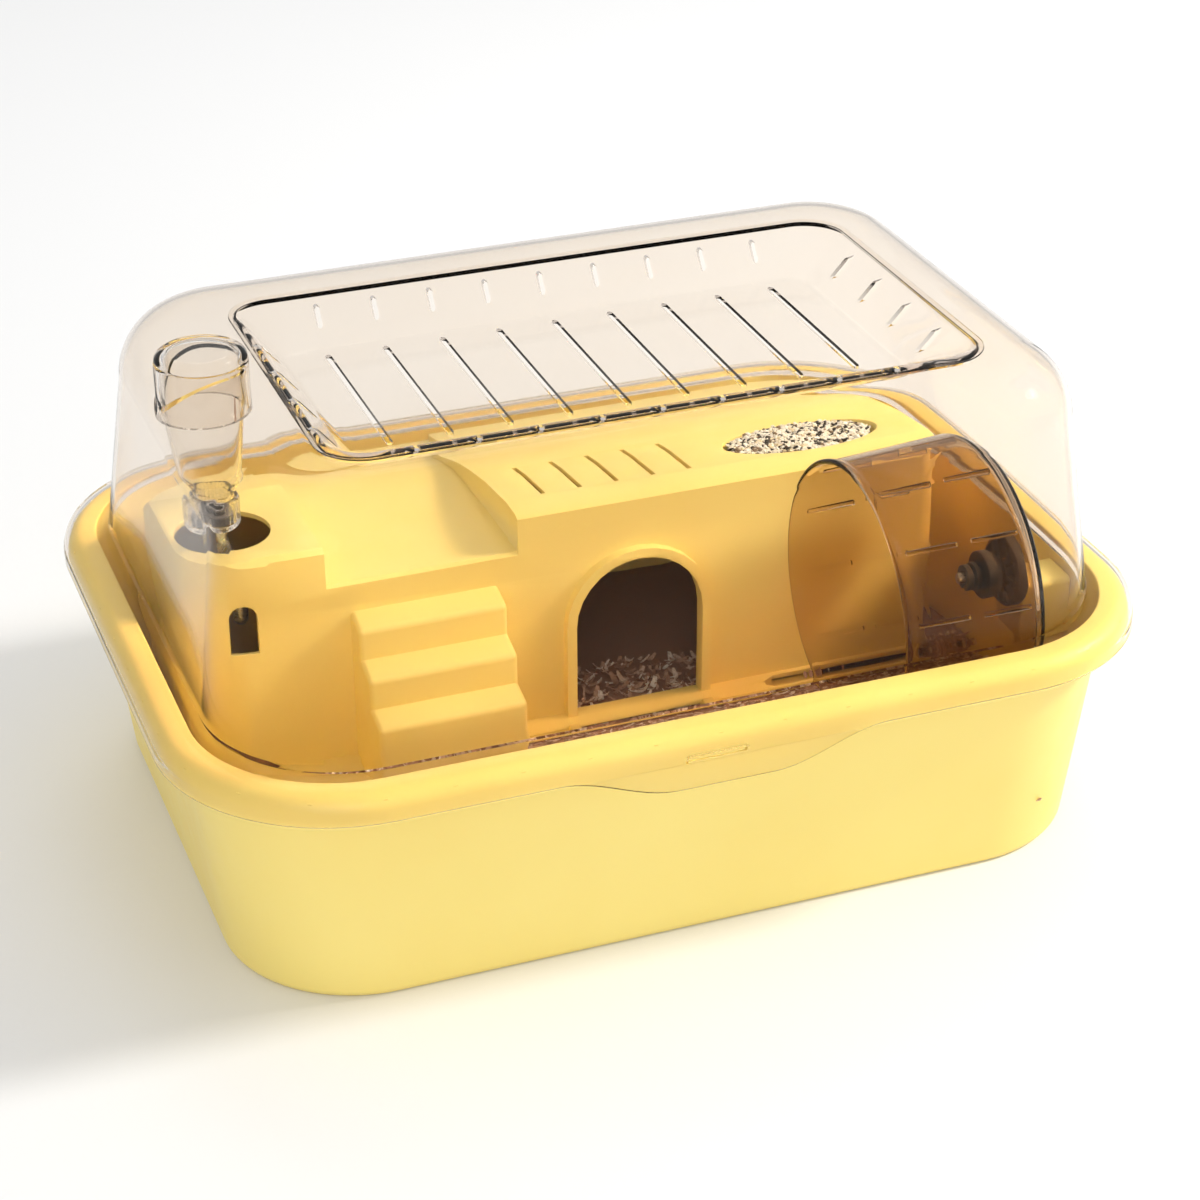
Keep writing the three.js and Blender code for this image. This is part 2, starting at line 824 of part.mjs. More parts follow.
const makeMountScrew = (side) =>
  turnedOnAxle(
    [
      [0, plateX - 2],
      [screwHeadR - 0.6, plateX - 2],
      [screwHeadR, plateX - 1.2],
      [screwHeadR, plateX - gap],
      [screwR, plateX - gap],
      [screwR, postX + 9],
      [0, postX + 9.6],
    ],
    16,
    wheelY + side * screwSpread,
    screwZ,
  );

// ---- the drinking bottle ----
const bottleTopZ = collarTopZ + 5;

const makeBottle = () =>
  turned(
    [
      [0, bottleTopZ],
      [bottleR - 3, bottleTopZ],
      [bottleR, bottleTopZ - 1.6],
      [bottleR + 2.2, bottleTopZ - 2.6],
      [bottleR + 2.2, collarTopZ + gap],
      [bottleR, collarTopZ + gap],
      [bottleR, pocketZ],
      [bottleR - 4, bottleFootZ],
      [neckR + 1, neckTopZ + 1],
      [neckR, neckTopZ - 1],
      [neckR, neckEndZ],
      [neckR - bottleSkin, neckEndZ],
      [neckR - bottleSkin, neckTopZ],
      [bottleR - 4 - bottleSkin, bottleFootZ + 1],
      [bottleR - bottleSkin, pocketZ],
      [bottleR - bottleSkin, bottleTopZ - 3.6],
      [bottleR - 5, bottleTopZ - bottleSkin],
      [0, bottleTopZ - bottleSkin],
    ],
    bottleX,
    bottleY,
  );

const makeCap = () =>
  turned(
    [
      [tubeR + gap, capBottomZ],
      [capR - 1.5, capBottomZ],
      [capR, capBottomZ + 1.5],
      [capR, capTopZ - 1],
      [capR - 0.8, capTopZ],
      [neckR + gap, capTopZ],
      [neckR + gap, capFloorZ],
      [tubeR + gap, capFloorZ],
    ],
    bottleX,
    bottleY,
    28,
  );

const makeGasket = () =>
  turned(
    [
      [tubeR + gap, capFloorZ + gap],
      [neckR, capFloorZ + gap],
      [neckR, neckEndZ - gap],
      [tubeR + gap, neckEndZ - gap],
    ],
    bottleX,
    bottleY,
    24,
  );

// A round bar of radius r that follows a path, with level ends.
function barAlong(path, r, sides = 16) {
  const rings = path.map(([x, y, z]) => {
    const ring = [];
    for (let k = 0; k < sides; k += 1) {
      const a = (2 * Math.PI * k) / sides;
      ring.push([x + r * Math.cos(a), y + r * Math.sin(a), z]);
    }
    return ring;
  });
  return loft(rings);
}

// The tube leaves the cap straight down, steps over to the window and ends straight down.
function makeTube() {
  const bend = (t) => {
    const s = t * t * (3 - 2 * t);
    const x = bottleX + (tubeTipX - bottleX) * s;
    return [x, bottleY + (tubeTipY - bottleY) * s, bendTopZ - 24 * t];
  };
  const middle = [0, 0.17, 0.33, 0.5, 0.67, 0.83, 1].map(bend);
  const shoulderZ = tubeTipZ + 3;
  const outer = [[tubeTipX, tubeTipY, shoulderZ], ...middle.slice().reverse()];
  outer.push([bottleX, bottleY, neckEndZ + 2]);
  const bore = [[tubeTipX, tubeTipY, shoulderZ - 0.2], ...middle.slice().reverse()];
  bore.push([bottleX, bottleY, neckEndZ + 3]);
  const tip = turned(
    [
      [0, tubeTipZ],
      [tubeR - 0.9, tubeTipZ],
      [tubeR, shoulderZ],
      [0, shoulderZ],
    ],
    tubeTipX,
    tubeTipY,
    16,
  );
  const seat = turned(
    [
      [0, tubeTipZ - 1],
      [tipR, tubeTipZ - 1],
      [tipR, tubeTipZ + 0.6],
      [tubeR - 0.8, shoulderZ - 0.2],
      [tubeR - 0.8, shoulderZ + 0.5],
      [0, shoulderZ + 0.5],
    ],
    tubeTipX,
    tubeTipY,
    16,
  );
  const body = barAlong(outer, tubeR).add(tip);
  return cut(body, [barAlong(bore, tubeR - 0.8), seat]);
}

function makeBall() {
  const geometry = new THREE.SphereGeometry(ballR, 18, 12);
  geometry.translate(tubeTipX, tubeTipY, tubeTipZ + 2.7);
  return solidOf(geometry);
}

// ---- assembly ----
addNode("base_tub", makeTub(), yellow);
addNode("bedding_open", makeOpenBedding(), bedding);
addNode("bedding_house", makeHouseBedding(), bedding);
addNode("play_platform", makePlatform(), yellow);
addNode("seed_fill", makeSeeds(), seed);
addNode("lid_dome", makeLid(), clear);
addNode("vent_panel", makeVentPanel(), clear);
addNode("wheel_drum", makeDrum(), amber);
addNode("hub_boss", makeHubBoss(), darkGrey);
addNode("hub_bush", makeHubBush(), white);
addNode("axle_pin", makeAxle(), steel);
addNode("axle_clip", makeAxleClip(), darkGrey);
addNode("axle_mount", makeAxleMount(), darkGrey);
addNode("mount_screw_front", makeMountScrew(-1), steel);
addNode("mount_screw_back", makeMountScrew(1), steel);
addNode("bottle_body", makeBottle(), clear);
addNode("bottle_cap", makeCap(), white);
addNode("cap_gasket", makeGasket(), rubber);
addNode("sipper_tube", makeTube(), steel);
addNode("sipper_ball", makeBall(), steel);

export default cage;
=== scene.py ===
import json
import math

import bmesh
import bpy
from mathutils import Matrix, Vector

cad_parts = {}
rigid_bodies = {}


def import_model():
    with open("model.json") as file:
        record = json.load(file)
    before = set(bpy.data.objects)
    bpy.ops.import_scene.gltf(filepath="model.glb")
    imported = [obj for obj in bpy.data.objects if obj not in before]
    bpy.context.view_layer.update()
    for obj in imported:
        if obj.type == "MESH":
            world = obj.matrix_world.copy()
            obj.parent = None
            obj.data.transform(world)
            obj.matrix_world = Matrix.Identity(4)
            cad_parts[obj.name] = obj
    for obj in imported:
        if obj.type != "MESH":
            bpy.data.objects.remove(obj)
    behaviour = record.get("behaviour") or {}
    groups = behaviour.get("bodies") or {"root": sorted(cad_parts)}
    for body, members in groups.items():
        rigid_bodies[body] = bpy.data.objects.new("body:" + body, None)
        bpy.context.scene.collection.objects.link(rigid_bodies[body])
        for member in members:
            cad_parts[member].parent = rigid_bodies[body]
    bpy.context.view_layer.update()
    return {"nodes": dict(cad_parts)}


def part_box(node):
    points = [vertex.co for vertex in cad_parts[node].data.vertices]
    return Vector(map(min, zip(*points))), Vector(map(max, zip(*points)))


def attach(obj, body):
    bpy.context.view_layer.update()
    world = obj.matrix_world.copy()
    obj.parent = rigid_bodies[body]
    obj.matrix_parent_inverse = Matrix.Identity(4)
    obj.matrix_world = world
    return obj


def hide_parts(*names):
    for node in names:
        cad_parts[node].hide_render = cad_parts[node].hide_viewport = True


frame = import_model()
scene = bpy.context.scene
print("frame loaded:", len(frame["nodes"]), "nodes")

mm = 0.001  # all sizes below are in millimetres


# mesh helpers
def pieceFrom(name, verts, faces):
    mesh = bpy.data.meshes.new(name)
    mesh.from_pydata([(x * mm, y * mm, z * mm) for x, y, z in verts], [], faces)
    piece = bpy.data.objects.new(name, mesh)
    scene.collection.objects.link(piece)
    tidyFaces(piece)
    return piece


def tidyFaces(piece, weld=0.00001):
    work = bmesh.new()
    work.from_mesh(piece.data)
    bmesh.ops.remove_doubles(work, verts=work.verts, dist=weld)
    bmesh.ops.dissolve_degenerate(work, edges=work.edges, dist=weld)
    bmesh.ops.recalc_face_normals(work, faces=work.faces)
    work.to_mesh(piece.data)
    work.free()


def settle(piece):
    graph = bpy.context.evaluated_depsgraph_get()
    graph.update()
    mesh = bpy.data.meshes.new_from_object(piece.evaluated_get(graph), depsgraph=graph)
    old = piece.data
    mesh.name = piece.name
    piece.modifiers.clear()
    piece.data = mesh
    bpy.data.meshes.remove(old)
    return piece


def drop(*things):
    for thing in things:
        bpy.data.objects.remove(thing)


def combine(piece, tool, operation="DIFFERENCE"):
    step = piece.modifiers.new("combine", "BOOLEAN")
    step.operation = operation
    step.solver = "EXACT"
    step.object = tool
    settle(piece)
    drop(tool)
    return piece


def roundEdges(piece, width, angle=30, segments=3):
    step = piece.modifiers.new("edges", "BEVEL")
    step.width = width * mm
    step.segments = segments
    step.limit_method = "ANGLE"
    step.angle_limit = math.radians(angle)
    step.use_clamp_overlap = True
    return settle(piece)


def shadeSoft(piece, angle=35):
    mesh = piece.data
    mesh.polygons.foreach_set("use_smooth", [True] * len(mesh.polygons))
    mesh.set_sharp_from_angle(angle=math.radians(angle))
    return piece


def roundPath(points, reach, steps=4, closed=True, sharp=12):
    # rounds each corner of a path by up to reach, without passing the middle of a side
    count = len(points)
    made = []
    for i, spot in enumerate(points):
        here = Vector(spot)
        if not closed and i in (0, count - 1):
            made.append(tuple(here))
            continue
        before, after = Vector(points[i - 1]), Vector(points[(i + 1) % count])
        inward, outward = before - here, after - here
        if min(inward.length, outward.length) < 1e-6:
            continue
        turn = 180 - math.degrees(inward.angle(outward))
        if turn < sharp:
            made.append(tuple(here))
            continue
        start = here + inward.normalized() * min(reach, inward.length * 0.48)
        end = here + outward.normalized() * min(reach, outward.length * 0.48)
        for k in range(steps + 1):
            t = k / steps
            made.append(tuple(start * (1 - t) ** 2 + here * 2 * t * (1 - t) + end * t * t))
    return made


def loopOf(ring, corner=14, sides=(1, 1, 1, 1)):
    # a rounded rectangle, anticlockwise from above; sides are the cuts on the right, back, left and front
    left, right, front, back, radius = ring
    spots = (
        (right - radius, front + radius, -90),
        (right - radius, back - radius, 0),
        (left + radius, back - radius, 90),
        (left + radius, front + radius, 180),
    )
    arcs = []
    for cx, cy, start in spots:
        turns = [math.radians(start + 90 * k / corner) for k in range(corner + 1)]
        arcs.append([(cx + radius * math.cos(a), cy + radius * math.sin(a)) for a in turns])
    made = []
    for i, arc in enumerate(arcs):
        made += arc
        x0, y0 = arc[-1]
        x1, y1 = arcs[(i + 1) % 4][0]
        for k in range(1, sides[i]):
            t = k / sides[i]
            made.append((x0 + (x1 - x0) * t, y0 + (y1 - y0) * t))
    return made


def grown(ring, by, radiusShare=1.0):
    left, right, front, back, radius = ring
    return (left - by, right + by, front - by, back + by, radius + by * radiusShare)


def mixRing(a, b, t):
    return tuple(p + (q - p) * t for p, q in zip(a, b))


def skin(name, rings, closed=False):
    count = len(rings[0])
    verts = [spot for ring in rings for spot in ring]
    faces = []
    last = len(rings) if closed else len(rings) - 1
    for i in range(last):
        a0, b0 = i * count, ((i + 1) % len(rings)) * count
        for j in range(count):
            k = (j + 1) % count
            faces.append((a0 + j, a0 + k, b0 + k, b0 + j))
    if not closed:
        faces.append(tuple(reversed(range(count))))
        faces.append(tuple(range((len(rings) - 1) * count, len(rings) * count)))
    return pieceFrom(name, verts, faces)


def atZ(loop, z):
    return [(x, y, z) for x, y in loop]


def turned(name, profile, centre, axis="Z", segments=64):
    # a closed (radius, height) profile turned about a line through centre along axis
    cx, cy, cz = centre
    rings = []
    for r, h in profile:
        ring = []
        for k in range(segments):
            a = 2 * math.pi * k / segments
            if axis == "Z":
                ring.append((cx + r * math.cos(a), cy + r * math.sin(a), h))
            else:
                ring.append((h, cy + r * math.cos(a), cz + r * math.sin(a)))
        rings.append(ring)
    return skin(name, rings, closed=True)


def prism(name, points, low, high, plane="XY"):
    # an outline pushed along the third axis: XY along Z, XZ along Y, YZ along X
    def place(a, b, c):
        return {"XY": (a, b, c), "XZ": (a, c, b), "YZ": (c, a, b)}[plane]

    rings = [[place(a, b, c) for a, b in points] for c in (low, high)]
    return skin(name, rings)


def slotOutline(x, y, halfLong, halfWide, steps=6):
    # a straight slot with round ends, long side along y
    made = []
    for side, start in ((1, 0), (-1, 180)):
        for k in range(steps + 1):
            a = math.radians(start + 180 * k / steps)
            middle = y + side * (halfLong - halfWide)
            made.append((x + halfWide * math.cos(a), middle + halfWide * math.sin(a)))
    return made


def copyNode(node, name, flat=2.0):
    # a welded copy of a CAD node, with its flat faces joined up
    source = frame["nodes"][node]
    piece = bpy.data.objects.new(name, source.data.copy())
    scene.collection.objects.link(piece)
    piece.data.materials.clear()
    work = bmesh.new()
    work.from_mesh(piece.data)
    bmesh.ops.remove_doubles(work, verts=work.verts, dist=0.00002)
    bmesh.ops.dissolve_limit(work, angle_limit=math.radians(flat), verts=work.verts, edges=work.edges)
    work.to_mesh(piece.data)
    work.free()
    return piece


def finishPiece(piece, body, node, material, angle=35):
    shadeSoft(piece, angle)
    piece.data.materials.clear()
    piece.data.materials.append(material)
    for polygon in piece.data.polygons:
        polygon.material_index = 0
    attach(piece, body)
    if node:
        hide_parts(*([node] if isinstance(node, str) else node))
    return piece


# Geometry Nodes helpers
def newTree(name, inputs):
    tree = bpy.data.node_groups.new(name, "GeometryNodeTree")
    tree.interface.new_socket("Geometry", in_out="INPUT", socket_type="NodeSocketGeometry")
    tree.interface.new_socket("Geometry", in_out="OUTPUT", socket_type="NodeSocketGeometry")
    for label, kind in inputs:
        tree.interface.new_socket(label, in_out="INPUT", socket_type="NodeSocket" + kind)
    start = put(tree, "NodeGroupInput", 0)
    end = put(tree, "NodeGroupOutput", 9)
    return tree, start, end


def put(tree, kind, column, row=0, **settings):
    node = tree.nodes.new(kind)
    node.location = (column * 190, -row * 190)
    for key, value in settings.items():
        setattr(node, key, value)
    return node


def wire(tree, source, output, target, entry):
    tree.links.new(source.outputs[output], target.inputs[entry])


def chain(tree, *nodes):
    # each node's first output goes into the next node's first input
    for source, target in zip(nodes, nodes[1:]):
        wire(tree, source, 0, target, 0)


def runTree(piece, tree, **values):
    step = piece.modifiers.new(tree.name, "NODES")
    step.node_group = tree
    named = {s.name: s.identifier for s in tree.interface.items_tree if s.in_out == "INPUT"}
    for label, value in values.items():
        step[named[label]] = value
    return settle(piece)


def patternRingTree():
    # copies of a pattern piece round an axle, welded to the piece they stand on
    tree, start, end = newTree(
        "patternRing",
        [("pattern", "Object"), ("count", "Int"), ("axle", "Vector"), ("centre", "Vector"),
         ("firstTurn", "Float"), ("finish", "Material")],
    )
    shape = put(tree, "GeometryNodeObjectInfo", 1, 1)
    line = put(tree, "GeometryNodeMeshLine", 1)
    index = put(tree, "GeometryNodeInputIndex", 1, 2)
    full = put(tree, "ShaderNodeMath", 2, 2, operation="DIVIDE")
    full.inputs[0].default_value = 2 * math.pi
    turn = put(tree, "ShaderNodeMath", 3, 2, operation="MULTIPLY_ADD")
    aim = put(tree, "ShaderNodeVectorMath", 4, 2, operation="SCALE")
    copies = put(tree, "GeometryNodeInstanceOnPoints", 4)
    real = put(tree, "GeometryNodeRealizeInstances", 5)
    moved = put(tree, "GeometryNodeTransform", 6)
    union = put(tree, "GeometryNodeMeshBoolean", 7, 1, operation="UNION", solver="EXACT")
    paint = put(tree, "GeometryNodeSetMaterial", 8, 1)
    line.inputs["Offset"].default_value = (0, 0, 0)
    wire(tree, start, "count", line, "Count")
    wire(tree, start, "pattern", shape, "Object")
    wire(tree, start, "count", full, 1)
    wire(tree, index, 0, turn, 0)
    wire(tree, full, 0, turn, 1)
    wire(tree, start, "firstTurn", turn, 2)
    wire(tree, start, "axle", aim, 0)
    wire(tree, turn, 0, aim, "Scale")
    wire(tree, shape, "Geometry", copies, "Instance")
    wire(tree, aim, 0, copies, "Rotation")
    wire(tree, start, "centre", moved, "Translation")
    wire(tree, start, "Geometry", union, 1)
    wire(tree, start, "finish", paint, "Material")
    chain(tree, line, copies, real, moved)
    wire(tree, moved, 0, union, 1)
    chain(tree, union, paint, end)
    return tree


def slotRowTree():
    # a row of slots cut with a pattern piece
    tree, start, end = newTree(
        "slotRow",
        [("pattern", "Object"), ("count", "Int"), ("first", "Vector"), ("pitch", "Vector"),
         ("finish", "Material")],
    )
    shape = put(tree, "GeometryNodeObjectInfo", 1, 1)
    line = put(tree, "GeometryNodeMeshLine", 1)
    copies = put(tree, "GeometryNodeInstanceOnPoints", 3)
    real = put(tree, "GeometryNodeRealizeInstances", 4)
    carve = put(tree, "GeometryNodeMeshBoolean", 5, operation="DIFFERENCE", solver="EXACT")
    paint = put(tree, "GeometryNodeSetMaterial", 7)
    wire(tree, start, "count", line, "Count")
    wire(tree, start, "first", line, "Start Location")
    wire(tree, start, "pitch", line, "Offset")
    wire(tree, start, "pattern", shape, "Object")
    wire(tree, shape, "Geometry", copies, "Instance")
    wire(tree, start, "finish", paint, "Material")
    chain(tree, line, copies, real)
    wire(tree, real, 0, carve, 1)
    chain(tree, start, carve, paint, end)
    return tree


def ribLoopTree():
    # a pattern piece repeated along a closed line, turned to follow it
    tree, start, end = newTree(
        "ribLoop", [("pattern", "Object"), ("count", "Int"), ("finish", "Material")]
    )
    shape = put(tree, "GeometryNodeObjectInfo", 1, 1)
    curve = put(tree, "GeometryNodeMeshToCurve", 1)
    spread = put(tree, "GeometryNodeResampleCurve", 2)
    tangent = put(tree, "GeometryNodeInputTangent", 2, 2)
    aim = put(tree, "FunctionNodeAlignRotationToVector", 3, 2, axis="X", pivot_axis="Z")
    copies = put(tree, "GeometryNodeInstanceOnPoints", 4)
    real = put(tree, "GeometryNodeRealizeInstances", 5)
    paint = put(tree, "GeometryNodeSetMaterial", 7)
    wire(tree, start, "count", spread, "Count")
    wire(tree, start, "pattern", shape, "Object")
    wire(tree, tangent, 0, aim, "Vector")
    wire(tree, shape, "Geometry", copies, "Instance")
    wire(tree, aim, 0, copies, "Rotation")
    wire(tree, start, "finish", paint, "Material")
    chain(tree, start, curve, spread, copies, real, paint, end)
    return tree


def looseFillTree():
    # loose bits scattered over a surface, each with its own tone
    tree, start, end = newTree(
        "looseFill",
        [("bits", "Collection"), ("density", "Float"), ("seed", "Int"), ("tiltLow", "Vector"),
         ("tiltHigh", "Vector"), ("smallest", "Float"), ("largest", "Float"), ("kinds", "Int"),
         ("finish", "Material")],
    )
    shapes = put(tree, "GeometryNodeCollectionInfo", 1, 1)
    shapes.inputs["Separate Children"].default_value = True
    shapes.inputs["Reset Children"].default_value = True
    points = put(tree, "GeometryNodeDistributePointsOnFaces", 1)
    tilt = put(tree, "FunctionNodeRandomValue", 2, 2, data_type="FLOAT_VECTOR")
    size = put(tree, "FunctionNodeRandomValue", 2, 3, data_type="FLOAT")
    which = put(tree, "FunctionNodeRandomValue", 2, 4, data_type="INT")
    tone = put(tree, "FunctionNodeRandomValue", 4, 3, data_type="FLOAT")
    tone.inputs["Seed"].default_value = 11
    size.inputs["Seed"].default_value = 5
    copies = put(tree, "GeometryNodeInstanceOnPoints", 4)
    copies.inputs["Pick Instance"].default_value = True
    note = put(tree, "GeometryNodeStoreNamedAttribute", 5, domain="INSTANCE", data_type="FLOAT")
    note.inputs["Name"].default_value = "tone"
    real = put(tree, "GeometryNodeRealizeInstances", 6)
    paint = put(tree, "GeometryNodeSetMaterial", 7)
    wire(tree, start, "density", points, "Density")
    wire(tree, start, "seed", points, "Seed")
    wire(tree, start, "bits", shapes, "Collection")
    wire(tree, start, "tiltLow", tilt, "Min")
    wire(tree, start, "tiltHigh", tilt, "Max")
    wire(tree, start, "smallest", size, 2)
    wire(tree, start, "largest", size, 3)
    wire(tree, start, "kinds", which, 5)
    wire(tree, shapes, 0, copies, "Instance")
    wire(tree, which, 2, copies, "Instance Index")
    wire(tree, tilt, 0, copies, "Rotation")
    wire(tree, size, 1, copies, "Scale")
    wire(tree, tone, 1, note, "Value")
    wire(tree, start, "finish", paint, "Material")
    chain(tree, start, points, copies, note, real, paint, end)
    return tree


patternRing = patternRingTree()
slotRow = slotRowTree()
ribLoop = ribLoopTree()
looseFill = looseFillTree()


# finishes
def newFinish(name):
    material = bpy.data.materials.new(name)
    material.use_nodes = True
    tree = material.node_tree
    tree.nodes.clear()
    end = put(tree, "ShaderNodeOutputMaterial", 9)
    body = put(tree, "ShaderNodeBsdfPrincipled", 7)
    place = put(tree, "ShaderNodeTexCoord", 0)
    wire(tree, body, 0, end, "Surface")
    return material, tree, body, end, place


def noiseField(tree, place, scale, detail, row, stretch=None):
    field = put(tree, "ShaderNodeTexNoise", 2, row)
    field.inputs["Scale"].default_value = scale
    field.inputs["Detail"].default_value = detail
    if stretch:
        mapping = put(tree, "ShaderNodeMapping", 1, row)
        mapping.inputs["Scale"].default_value = stretch
        wire(tree, place, "Object", mapping, 0)
        wire(tree, mapping, 0, field, "Vector")
    else:
        wire(tree, place, "Object", field, "Vector")
    return field


def spanOf(tree, field, low, high, row, fromLow=0.3, fromHigh=0.7):
    span = put(tree, "ShaderNodeMapRange", 4, row)
    span.inputs["From Min"].default_value = fromLow
    span.inputs["From Max"].default_value = fromHigh
    span.inputs["To Min"].default_value = low
    span.inputs["To Max"].default_value = high
    wire(tree, field, 0, span, "Value")
    return span


def tintMix(tree, field, first, second, row, fromLow=0.3, fromHigh=0.7):
    share = spanOf(tree, field, 0, 1, row, fromLow, fromHigh)
    mix = put(tree, "ShaderNodeMix", 5, row, data_type="RGBA")
    mix.inputs[6].default_value = (*first, 1)
    mix.inputs[7].default_value = (*second, 1)
    wire(tree, share, 0, mix, 0)
    return mix


def addBump(tree, body, field, strength, depth, row=4):
    bump = put(tree, "ShaderNodeBump", 5, row)
    bump.inputs["Strength"].default_value = strength
    bump.inputs["Distance"].default_value = depth
    wire(tree, field, 0, bump, "Height")
    wire(tree, bump, 0, body, "Normal")


def mouldedFinish(name, look):
    material, tree, body, end, place = newFinish(name)
    clouds = noiseField(tree, place, look["cloudScale"], 3, 0)
    mix = tintMix(tree, clouds, look["colour"], look["deep"], 0)
    wire(tree, mix, 2, body, "Base Color")
    scuffs = noiseField(tree, place, 70, 4, 2)
    rough = spanOf(tree, scuffs, *look["rough"], 2)
    wire(tree, rough, 0, body, "Roughness")
    grain = noiseField(tree, place, look["grainScale"], 2, 4)
    addBump(tree, body, grain, look["grain"], 0.0001)
    body.inputs["Specular IOR Level"].default_value = 0.5
    body.inputs["Subsurface Weight"].default_value = look.get("glow", 0)
    body.inputs["Subsurface Radius"].default_value = (0.004, 0.002, 0.0006)
    body.inputs["Subsurface Scale"].default_value = 0.6
    return material


def clearFinish(name, look):
    material, tree, body, end, place = newFinish(name)
    clouds = noiseField(tree, place, 12, 2, 0)
    mix = tintMix(tree, clouds, look["colour"], look["deep"], 0)
    wire(tree, mix, 2, body, "Base Color")
    haze = noiseField(tree, place, 160, 4, 2)
    rough = spanOf(tree, haze, *look["rough"], 2)
    wire(tree, rough, 0, body, "Roughness")
    ripple = noiseField(tree, place, look["rippleScale"], 1, 4)
    addBump(tree, body, ripple, look["ripple"], 0.001)
    body.inputs["Transmission Weight"].default_value = 1.0
    body.inputs["IOR"].default_value = look["bend"]
    # light that goes on to other pieces passes straight through, tinted
    light = put(tree, "ShaderNodeLightPath", 6, 2)
    through = put(tree, "ShaderNodeBsdfTransparent", 7, 3)
    through.inputs[0].default_value = (*look["shade"], 1)
    both = put(tree, "ShaderNodeMixShader", 8)
    wire(tree, light, "Is Shadow Ray", both, 0)
    wire(tree, body, 0, both, 1)
    wire(tree, through, 0, both, 2)
    wire(tree, both, 0, end, "Surface")
    depth = put(tree, "ShaderNodeVolumeAbsorption", 8, 2)
    depth.inputs["Color"].default_value = (*look["depthColour"], 1)
    depth.inputs["Density"].default_value = look["depth"]
    wire(tree, depth, 0, end, "Volume")
    return material


def metalFinish(name, look):
    material, tree, body, end, place = newFinish(name)
    streaks = noiseField(tree, place, look["brushScale"], 3, 0, stretch=look["brush"])
    mix = tintMix(tree, streaks, look["colour"], look["deep"], 0)
    wire(tree, mix, 2, body, "Base Color")
    rough = spanOf(tree, streaks, *look["rough"], 2)
    wire(tree, rough, 0, body, "Roughness")
    addBump(tree, body, streaks, look["grain"], 0.00003)
    body.inputs["Metallic"].default_value = 1.0
    return material


def looseFinish(name, look):
    # bits whose tone picks their colour, with a fine grain of their own
    material, tree, body, end, place = newFinish(name)
    tone = put(tree, "ShaderNodeAttribute", 1, 0, attribute_name="tone")
    ramp = put(tree, "ShaderNodeValToRGB", 3, 0)
    ramp.color_ramp.interpolation = look["steps"]
    stops = ramp.color_ramp.elements
    while len(stops) > 1:
        stops.remove(stops[-1])
    for k, (spot, colour) in enumerate(look["colours"]):
        stop = stops[0] if k == 0 else stops.new(spot)
        stop.position = spot
        stop.color = (*colour, 1)
    wire(tree, tone, "Fac", ramp, 0)
    speck = noiseField(tree, place, look["speckScale"], 3, 2)
    share = spanOf(tree, speck, 0.0, look["speck"], 2, 0.45, 0.7)
    mix = put(tree, "ShaderNodeMix", 5, 0, data_type="RGBA")
    mix.inputs[7].default_value = (*look["speckColour"], 1)
    wire(tree, ramp, 0, mix, 6)
    wire(tree, share, 0, mix, 0)
    wire(tree, mix, 2, body, "Base Color")
    rough = spanOf(tree, speck, 0.75, 0.95, 3)
    wire(tree, rough, 0, body, "Roughness")
    addBump(tree, body, speck, 0.4, 0.0003)
    return material


yellowLook = {
    "colour": (0.91, 0.74, 0.225), "deep": (0.89, 0.70, 0.195), "cloudScale": 9,
    "rough": (0.38, 0.48), "grainScale": 700, "grain": 0.03, "glow": 0.05,
}
lidLook = {
    "colour": (0.95, 0.915, 0.87), "deep": (0.94, 0.895, 0.84), "rough": (0.015, 0.05), "bend": 1.14,
    "rippleScale": 16, "ripple": 0.05, "shade": (0.89, 0.83, 0.76),
    "depthColour": (0.66, 0.44, 0.28), "depth": 11,
}
wheelLook = {
    "colour": (0.87, 0.75, 0.59), "deep": (0.84, 0.71, 0.54), "rough": (0.02, 0.05), "bend": 1.22,
    "rippleScale": 30, "ripple": 0.04, "shade": (0.74, 0.60, 0.44),
    "depthColour": (0.46, 0.26, 0.12), "depth": 80,
}
bottleLook = {
    "colour": (0.97, 0.955, 0.935), "deep": (0.95, 0.93, 0.90), "rough": (0.03, 0.08), "bend": 1.2,
    "rippleScale": 60, "ripple": 0.05, "shade": (0.94, 0.92, 0.9),
    "depthColour": (0.74, 0.58, 0.44), "depth": 10,
}
darkLook = {
    "colour": (0.075, 0.067, 0.064), "deep": (0.055, 0.049, 0.047), "cloudScale": 60,
    "rough": (0.38, 0.55), "grainScale": 2400, "grain": 0.2,
}
rubberLook = {
    "colour": (0.10, 0.10, 0.105), "deep": (0.075, 0.075, 0.08), "cloudScale": 90,
    "rough": (0.7, 0.85), "grainScale": 3000, "grain": 0.3,
}
steelLook = {
    "colour": (0.56, 0.56, 0.57), "deep": (0.42, 0.42, 0.44), "rough": (0.2, 0.36), "brush": (1, 1, 14),
    "brushScale": 400, "grain": 0.15,
}
shavingLook = {
    "colours": [
        (0.0, (0.30, 0.16, 0.105)), (0.3, (0.46, 0.28, 0.20)), (0.6, (0.60, 0.41, 0.31)),
        (0.82, (0.76, 0.62, 0.52)), (1.0, (0.86, 0.79, 0.72)),
    ],
    "steps": "LINEAR", "speckScale": 900, "speck": 0.45, "speckColour": (0.20, 0.105, 0.07),
}
seedLook = {
    "colours": [
        (0.0, (0.03, 0.026, 0.022)), (0.22, (0.84, 0.79, 0.64)), (0.5, (0.72, 0.61, 0.40)),
        (0.62, (0.90, 0.87, 0.78)), (0.92, (0.22, 0.15, 0.09)),
    ],
    "steps": "CONSTANT", "speckScale": 1300, "speck": 0.35, "speckColour": (0.16, 0.12, 0.08),
}
yellowPlastic = mouldedFinish("butterYellowPlastic", yellowLook)
